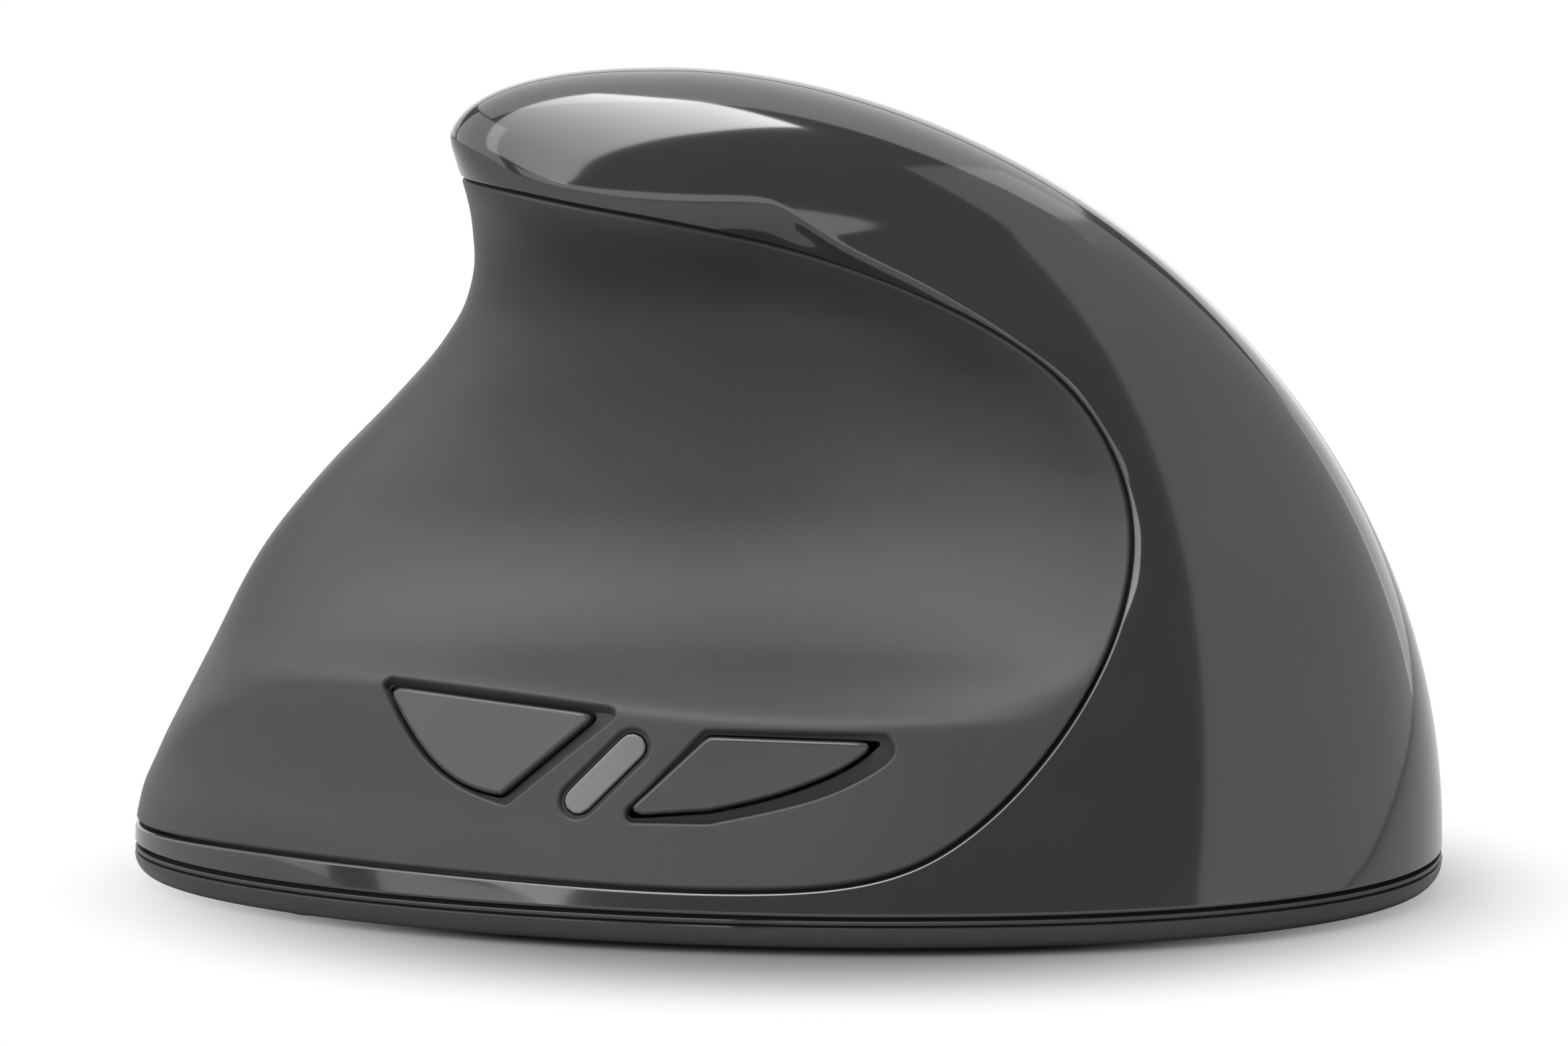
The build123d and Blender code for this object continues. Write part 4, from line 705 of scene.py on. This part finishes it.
# %% Pocket floors, tiles and lens
hole_gap, floor_wall = 0.15, 0.9
tile_sink, tile_wall, tile_edge = 0.1, 3.0, 0.42
for name, tile, hole, plane in (("forward", forward_tile, floor_room[0], forward_plane),
                                ("back", back_tile, floor_room[1], back_plane)):
    floor_points, floor_out = pressed(plane, pocket_depth)
    floor = moulding(f"{name}_pocket_floor", np.maximum(hole - 0.5, hole_gap - tile), floor_wall, 0.12,
                     floor_points, floor_out)
    finish(floor, pocket_black, "casing", "soft_panel")
    tile_points, tile_out = pressed(plane, tile_sink)
    button = moulding(f"{name}_tile", tile, tile_wall, tile_edge, tile_points, tile_out)
    finish(button, tile_black, f"{name}_button", "gloss_button", f"{name}_button")

seat_field = np.maximum(lens_line - 2.2, lens_radius + 0.08 - lens_line)
lens_seat = moulding("lens_seat", seat_field, 1.2, 0.1, skin - 0.6 * skin_out)
finish(lens_seat, pocket_black, "casing", "soft_panel")
lens = moulding("lens", lens_line - lens_radius, 3.0, 0.25, skin - 0.15 * skin_out)
finish(lens, lens_grey, "casing", "lens_plastic", "indicator_lens")

# %% [markdown]
# On the finger side two long keys lie above and below a bezel. Each key swings on a rod at its rear,
# so its front end keeps a wider gap, or it would touch the panel when pressed. The bezel has a slot
# for the wheel and a hole for the resolution button.

# %% Finger buttons and wheel bezel
left = moulding("left_key", left_field)
finish(left, gloss_black, "left_button", "gloss_shell", "left_button")
right = moulding("right_key", right_field)
finish(right, gloss_black, "right_button", "gloss_shell", "right_button")
wheel_radius, wheel_half = 10.5, 3.25
wheel_slot = rounded_box(finger_u, finger_v, [-wheel_radius - 0.3, -wheel_half - 0.5],
                         [wheel_radius + 0.3, wheel_half + 0.5], 1.0)
dpi_x, dpi_half = -22.2, 3.4
dpi_hole = rounded_box(finger_u, finger_v, [dpi_x - dpi_half - 0.3, -2.1],
                       [dpi_x + dpi_half + 0.3, 2.1], 2.0)
on_finger_side = finger_w > -8
wheel_slot, dpi_hole = np.where(on_finger_side, wheel_slot, far), np.where(on_finger_side, dpi_hole, far)
bezel = moulding("wheel_surround", np.maximum.reduce([bezel_field, -wheel_slot, -dpi_hole]), 2.0, 0.25)
finish(bezel, dark_satin, "casing", "dark_plastic", "wheel_bezel")

# %% [markdown]
# ## Base tray
# The tray's wall has two thin grooves that make a shadow under the shell, and its lower edge is
# rounded. It is a profile carried round the lowest outline of the skin. The underside, with its
# recesses, is flat work that the model already has, so only its outer wall is taken off and this
# ring put in its place.

# %% Outer ring of the tray
foot_drop, tray_round = 0.4, 2.1
groove_height, groove_depth, ridge_height = 0.3, 0.7, 0.4


def ring_profile():
    """(inset, level) pairs from the flat underside up to the shell. The lower edge is one large
    quarter round, and the edges of the grooves are small ones."""
    low = [(2.9, foot_drop - 0.005), (tray_round + 0.05, foot_drop - 0.005)]
    low += [(tray_round * (1 - math.sin(a)), foot_drop + tray_round * (1 - math.cos(a)))
            for a in np.radians(np.linspace(9, 90, 10))]
    r = 0.12
    steps = np.radians([0, 30, 60, 90])

    def top_edge(inset, level):
        return [(inset + r * (1 - math.cos(a)), level - r * (1 - math.sin(a))) for a in steps]

    def bottom_edge(inset, level):
        return [(inset + r * (1 - math.sin(a)), level + r * (1 - math.cos(a))) for a in steps]

    wall_top = foot_drop + tray_round + 0.02
    ridge_low = wall_top + groove_height
    ridge_high = ridge_low + ridge_height
    groove_low = wall_top + r * 0.9
    return (low + top_edge(0, groove_low) + [(groove_depth, groove_low), (groove_depth, ridge_low)]
            + bottom_edge(0.05, ridge_low) + top_edge(0.05, ridge_high)
            + [(groove_depth, ridge_high), (groove_depth, tray_top), (2.4, tray_top)])


profile = np.array(ring_profile())
ring_grid = np.array([level_ring(tray_top, inset) for inset in profile[:, 0]])
ring_grid[..., 2] = profile[:, 1][:, None]
band = np.arange(len(profile) * columns).reshape(len(profile), columns)
next_band = np.roll(band, -1, 1)
ring_faces = np.stack([band[:-1], next_band[:-1], next_band[1:], band[1:]], axis=2).reshape(-1, 4)
tray_wall = mesh_object("tray_wall", ring_grid.reshape(-1, 3), [ring_faces])
finish(tray_wall, satin_black, "casing", "tray_plastic", "base_tray")


# %% [markdown]
# The rest of the tray is a copy of the model's own mesh. Its loose triangles are joined first, and
# those of the old outer wall are picked out by their place and by the way they face.

# %% Rest of the tray, from the model
def reshaped_copy(node, name, keep_faces):
    """A copy of a model node with only some of its triangles, chosen by their corners."""
    source = nodes[node].data
    co = np.zeros(len(source.vertices) * 3)
    source.vertices.foreach_get("co", co)
    co = co.reshape(-1, 3) * 1000
    source.calc_loop_triangles()
    tri = np.zeros(len(source.loop_triangles) * 3, int)
    source.loop_triangles.foreach_get("vertices", tri)
    merged, back = np.unique(co.round(4), axis=0, return_inverse=True)
    tri = back.ravel()[tri].reshape(-1, 3)
    tri = tri[(tri[:, 0] != tri[:, 1]) & (tri[:, 1] != tri[:, 2]) & (tri[:, 0] != tri[:, 2])]
    tri = tri[keep_faces(merged[tri])]
    used, flat = np.unique(tri, return_inverse=True)
    return mesh_object(name, merged[used], [flat.reshape(-1, 3)])


def not_outer_wall(corners):
    """False for the triangles of the tray's outer wall: below the shell, near the outline and
    not level."""
    n = np.cross(corners[:, 1] - corners[:, 0], corners[:, 2] - corners[:, 0])
    n /= np.maximum(np.linalg.norm(n, axis=1, keepdims=True), 1e-12)
    outline = level_ring(tray_top, 2.2)[:, :2]
    d, _ = outline_distance(corners.reshape(-1, 3)[:, :2], outline)
    outer = (d.reshape(-1, 3) > 0).all(axis=1) & (corners[..., 2] < tray_top + 0.05).all(axis=1)
    return ~(outer & (np.abs(n[:, 2]) < 0.999))


tray_inside = reshaped_copy("base_tray", "tray_inside", not_outer_wall)
finish(tray_inside, satin_black, "casing", "tray_plastic")

# %% [markdown]
# ## Parts kept from the model
# The small parts keep their modelled shapes. Their meshes come as loose triangles, so their points
# are joined, and a narrow bevel breaks the sharp edges, as a mould or a file leaves them.

# %% Finish of every part that stays
kept = {
    "battery_door": satin_black, "dpi_button": tile_black, "power_knob": white_part,
    "inner_frame": frame_grey, "switch_board": board_green, "left_switch": white_part,
    "right_switch": white_part, "pivot_bracket": frame_grey, "pivot_rod": screw_steel,
    "carrier_mount": frame_grey, "wheel_carrier": frame_grey, "wheel_hub": dark_satin,
    "wheel_tyre": tyre_rubber, "wheel_encoder": white_part, "click_switch": chip_black,
    "dpi_switch": chip_black, "thumb_board": board_green, "thumb_bracket": frame_grey,
    "forward_switch": chip_black, "back_switch": chip_black, "indicator_led": white_part,
    "main_board": board_green, "sensor_chip": chip_black, "sensor_lens": white_part,
    "processor_chip": chip_black, "power_switch": chip_black, "battery": cell_paint,
    "contact_plate": spring_steel, "contact_spring": spring_steel, "receiver_grip": dark_satin,
    "receiver_plug": plug_steel, "board_cable": cable_film, "front_foot": glide_film,
    "rear_foot": glide_film, "case_screws": screw_steel, "board_screws": screw_steel,
}


def soften(piece, width):
    """Joins loose triangles and bevels the edges that are sharper than 35 degrees."""
    weld = piece.modifiers.new("joined points", "WELD")
    weld.merge_threshold = 0.000002
    bevel = piece.modifiers.new("broken edges", "BEVEL")
    bevel.width, bevel.segments = width, 2
    bevel.limit_method, bevel.angle_limit = "ANGLE", math.radians(35)
    bevel.harden_normals = True
    piece.data.polygons.foreach_set("use_smooth", np.ones(len(piece.data.polygons), bool))


for name, material in kept.items():
    nodes[name].data.materials.clear()
    nodes[name].data.materials.append(material)
    soften(nodes[name], 0.00012)
print("parts kept from the model:", len(kept))

# %% [markdown]
# ## Studio
# The picture is a plain product picture: a white floor and background, and a few large softboxes. A
# lamp shows in a gloss surface as a mirror image of itself, so its place follows from where its
# patch is seen. The camera stands ten degrees above the floor, square to the side of the thumb.

# %% Camera
elevation, distance = math.radians(10), 0.520
film, picture_width, focal_pixels = 36, 2350, 8554.0
target = Vector((0, 0, 0.033))
back = Vector((0, math.cos(elevation), math.sin(elevation)))
camera = bpy.data.objects.new("camera", bpy.data.cameras.new("camera"))
bpy.context.scene.collection.objects.link(camera)
camera.location = target + back * distance
camera.rotation_mode = "QUATERNION"
camera.rotation_quaternion = (-back).to_track_quat("-Z", "Y")
camera.data.sensor_width = film
camera.data.lens = film * focal_pixels / picture_width
camera.data.shift_x = -5 / picture_width
camera.data.clip_start, camera.data.clip_end = 0.05, 50
bpy.context.scene.camera = camera


# %% [markdown]
# The floor has to be white and still hold the shadow of the mouse. So near the mouse the camera sees
# a darker matte floor, a painted shadow laid over the real one, and further out it fades into plain
# white. Light that bounces meets a plain, lighter grey floor everywhere, so the white part adds no
# light to the mouse, and the painted shadow takes none away.

# %% Floor that turns into the white background, with a painted shadow near the mouse
def studio_floor():
    """Matte floor. For the camera it is a darker grey near the mouse, a painted shadow over the real one,
    and it fades to plain white by a smooth ramp of the oval distance sqrt((x/a)^2 + (y/b)^2) from the
    mouse. Other rays meet one lighter grey, and from below it is clear."""
    material = bpy.data.materials.new("pale floor")
    material.use_nodes = True
    tree = material.node_tree
    tree.nodes.clear()
    where = node_of(tree, "ShaderNodeTexCoord", (-1300, 0))
    # The oval of the painted shadow: its reaches and its middle, in metres.
    reach_x, reach_y, middle_x, middle_y = 0.0605, 0.0405, -0.0035, 0.003
    shape = node_of(tree, "ShaderNodeMapping", (-1100, 0), Scale=(1 / reach_x, 1 / reach_y, 0.0),
                    Location=(-middle_x / reach_x, -middle_y / reach_y, 0.0))
    away = tree.nodes.new("ShaderNodeVectorMath")
    away.operation = "LENGTH"
    painted_shadow_fade = node_of(tree, "ShaderNodeMapRange", (-700, 0), From_Min=0.66, From_Max=1.2)
    painted_shadow_fade.interpolation_type = "SMOOTHSTEP"
    path = node_of(tree, "ShaderNodeLightPath", (-700, 300))
    # Near the mouse the camera sees this dark grey, a painted shadow over the real one. Further out the
    # mix turns it to white.
    seen = node_of(tree, "ShaderNodeBsdfDiffuse", (-400, 0), Color=(0.19, 0.19, 0.19, 1))
    bounce = node_of(tree, "ShaderNodeBsdfDiffuse", (-400, 200), Color=(0.42, 0.42, 0.42, 1))
    white = node_of(tree, "ShaderNodeEmission", (-400, -150), Color=(1, 1, 1, 1), Strength=1.0)
    painted_shadow_mix = tree.nodes.new("ShaderNodeMixShader")
    choice = tree.nodes.new("ShaderNodeMixShader")
    end = tree.nodes.new("ShaderNodeOutputMaterial")
    tree.links.new(where.outputs["Object"], shape.inputs["Vector"])
    tree.links.new(shape.outputs["Vector"], away.inputs[0])
    tree.links.new(away.outputs["Value"], painted_shadow_fade.inputs["Value"])
    tree.links.new(painted_shadow_fade.outputs["Result"], painted_shadow_mix.inputs["Fac"])
    tree.links.new(seen.outputs[0], painted_shadow_mix.inputs[1])
    tree.links.new(white.outputs[0], painted_shadow_mix.inputs[2])
    tree.links.new(path.outputs["Is Camera Ray"], choice.inputs["Fac"])
    tree.links.new(bounce.outputs[0], choice.inputs[1])
    tree.links.new(painted_shadow_mix.outputs[0], choice.inputs[2])
    beneath = node_of(tree, "ShaderNodeNewGeometry", (-100, 300))
    clear = node_of(tree, "ShaderNodeBsdfTransparent", (-100, -200))
    from_below = tree.nodes.new("ShaderNodeMixShader")
    tree.links.new(beneath.outputs["Backfacing"], from_below.inputs["Fac"])
    tree.links.new(choice.outputs[0], from_below.inputs[1])
    tree.links.new(clear.outputs[0], from_below.inputs[2])
    tree.links.new(from_below.outputs[0], end.inputs["Surface"])
    return material


size, floor_level = 3000.0, -0.02
floor_corners = np.array([[-size, -size, floor_level], [size, -size, floor_level],
                          [size, size, floor_level], [-size, size, floor_level]])
floor = mesh_object("floor", floor_corners, [np.array([[0, 1, 2, 3]])])
floor.data.materials.append(studio_floor())

# %% [markdown]
# The world gives the mouse a dim, even light from all round, as a room does. Only the camera sees it
# as white.

# %% World: dim for the object, white behind it
world = bpy.data.worlds.new("studio")
bpy.context.scene.world = world
world.use_nodes = True
tree = world.node_tree
tree.nodes.clear()
path = node_of(tree, "ShaderNodeLightPath", (-600, 200))
room_light = node_of(tree, "ShaderNodeBackground", (-300, 0), Color=(0.18, 0.18, 0.18, 1), Strength=1.0)
white_back = node_of(tree, "ShaderNodeBackground", (-300, -150), Color=(1, 1, 1, 1), Strength=1.0)
mix = node_of(tree, "ShaderNodeMixShader", (-50, 0))
end = node_of(tree, "ShaderNodeOutputWorld", (150, 0))
tree.links.new(path.outputs["Is Camera Ray"], mix.inputs["Fac"])
tree.links.new(room_light.outputs[0], mix.inputs[1])
tree.links.new(white_back.outputs[0], mix.inputs[2])
tree.links.new(mix.outputs[0], end.inputs["Surface"])


# %% [markdown]
# The key softbox stands before the mouse on the thumb side and makes the patch on the nose. It is
# brighter towards its top, as a softbox is whose lamp sits high. The walls and the ceiling are wide
# and dim: they fill the gloss shell with even greys and give it its soft edges.

# %% Softboxes
def softbox(name, place, aim, width, height, radiance, turn=0.0):
    """A rectangular area lamp at a place that faces another, all in millimetres. Its radiance is
    its power over four times its area, so the power follows from the radiance."""
    lamp = bpy.data.lights.new(name, "AREA")
    lamp.shape, lamp.size, lamp.size_y = "RECTANGLE", width / 1000, height / 1000
    lamp.energy = radiance * 4 * lamp.size * lamp.size_y
    holder = bpy.data.objects.new(name, lamp)
    bpy.context.scene.collection.objects.link(holder)
    holder.location = Vector(place) / 1000
    way = (Vector(place) - Vector(aim)).normalized()
    holder.rotation_mode = "QUATERNION"
    holder.rotation_quaternion = way.to_track_quat("Z", "Y") @ Quaternion((0, 0, 1), math.radians(turn))
    return holder


def graded(holder, foot, top, power, dim_side):
    """Makes a lamp brighter towards its top: foot + (top - foot) v^power, with v from 0 at the foot
    to 1 at the top, times a factor that runs from dim_side at one side to 1.1 at the other."""
    lamp = holder.data
    lamp.use_nodes = True
    tree = lamp.node_tree
    shine = tree.nodes["Emission"]
    where = node_of(tree, "ShaderNodeNewGeometry", (-900, 0))
    parts = node_of(tree, "ShaderNodeSeparateXYZ", (-720, 0))
    rise = node_of(tree, "ShaderNodeMath", (-540, 100))
    rise.operation = "POWER"
    rise.inputs[1].default_value = power
    height_part = node_of(tree, "ShaderNodeMapRange", (-360, 100), To_Min=foot, To_Max=top)
    side_part = node_of(tree, "ShaderNodeMapRange", (-360, -150), To_Min=dim_side, To_Max=1.1)
    strength = node_of(tree, "ShaderNodeMath", (-180, 0))
    strength.operation = "MULTIPLY"
    tree.links.new(where.outputs["Parametric"], parts.inputs[0])
    tree.links.new(parts.outputs["Y"], rise.inputs[0])
    tree.links.new(rise.outputs[0], height_part.inputs["Value"])
    tree.links.new(parts.outputs["X"], side_part.inputs["Value"])
    tree.links.new(height_part.outputs[0], strength.inputs[0])
    tree.links.new(side_part.outputs[0], strength.inputs[1])
    tree.links.new(strength.outputs[0], shine.inputs["Strength"])


middle = (0, 0, 40)
key = softbox("key softbox", (395, 470, 700), middle, 675, 1395, 1.0, -10)
graded(key, 1.7, 8.0, 2.8, 0.75)
softbox("right wall", (-891, 125, 760), (0, 0, 760), 1710, 1500, 0.5)
softbox("left wall", (896, 60, 480), (0, 60, 480), 1100, 950, 1.0)
softbox("ceiling", (0, -600, 1000), (0, -600, 0), 1800, 1500, 1.05)
softbox("rear wall", (0, -1500, 500), (0, 0, 500), 4400, 1000, 0.8)
softbox("front wall", (0, 1500, 60), (0, 0, 60), 3400, 500, 1.0)
bpy.context.scene.view_settings.view_transform = "Standard"
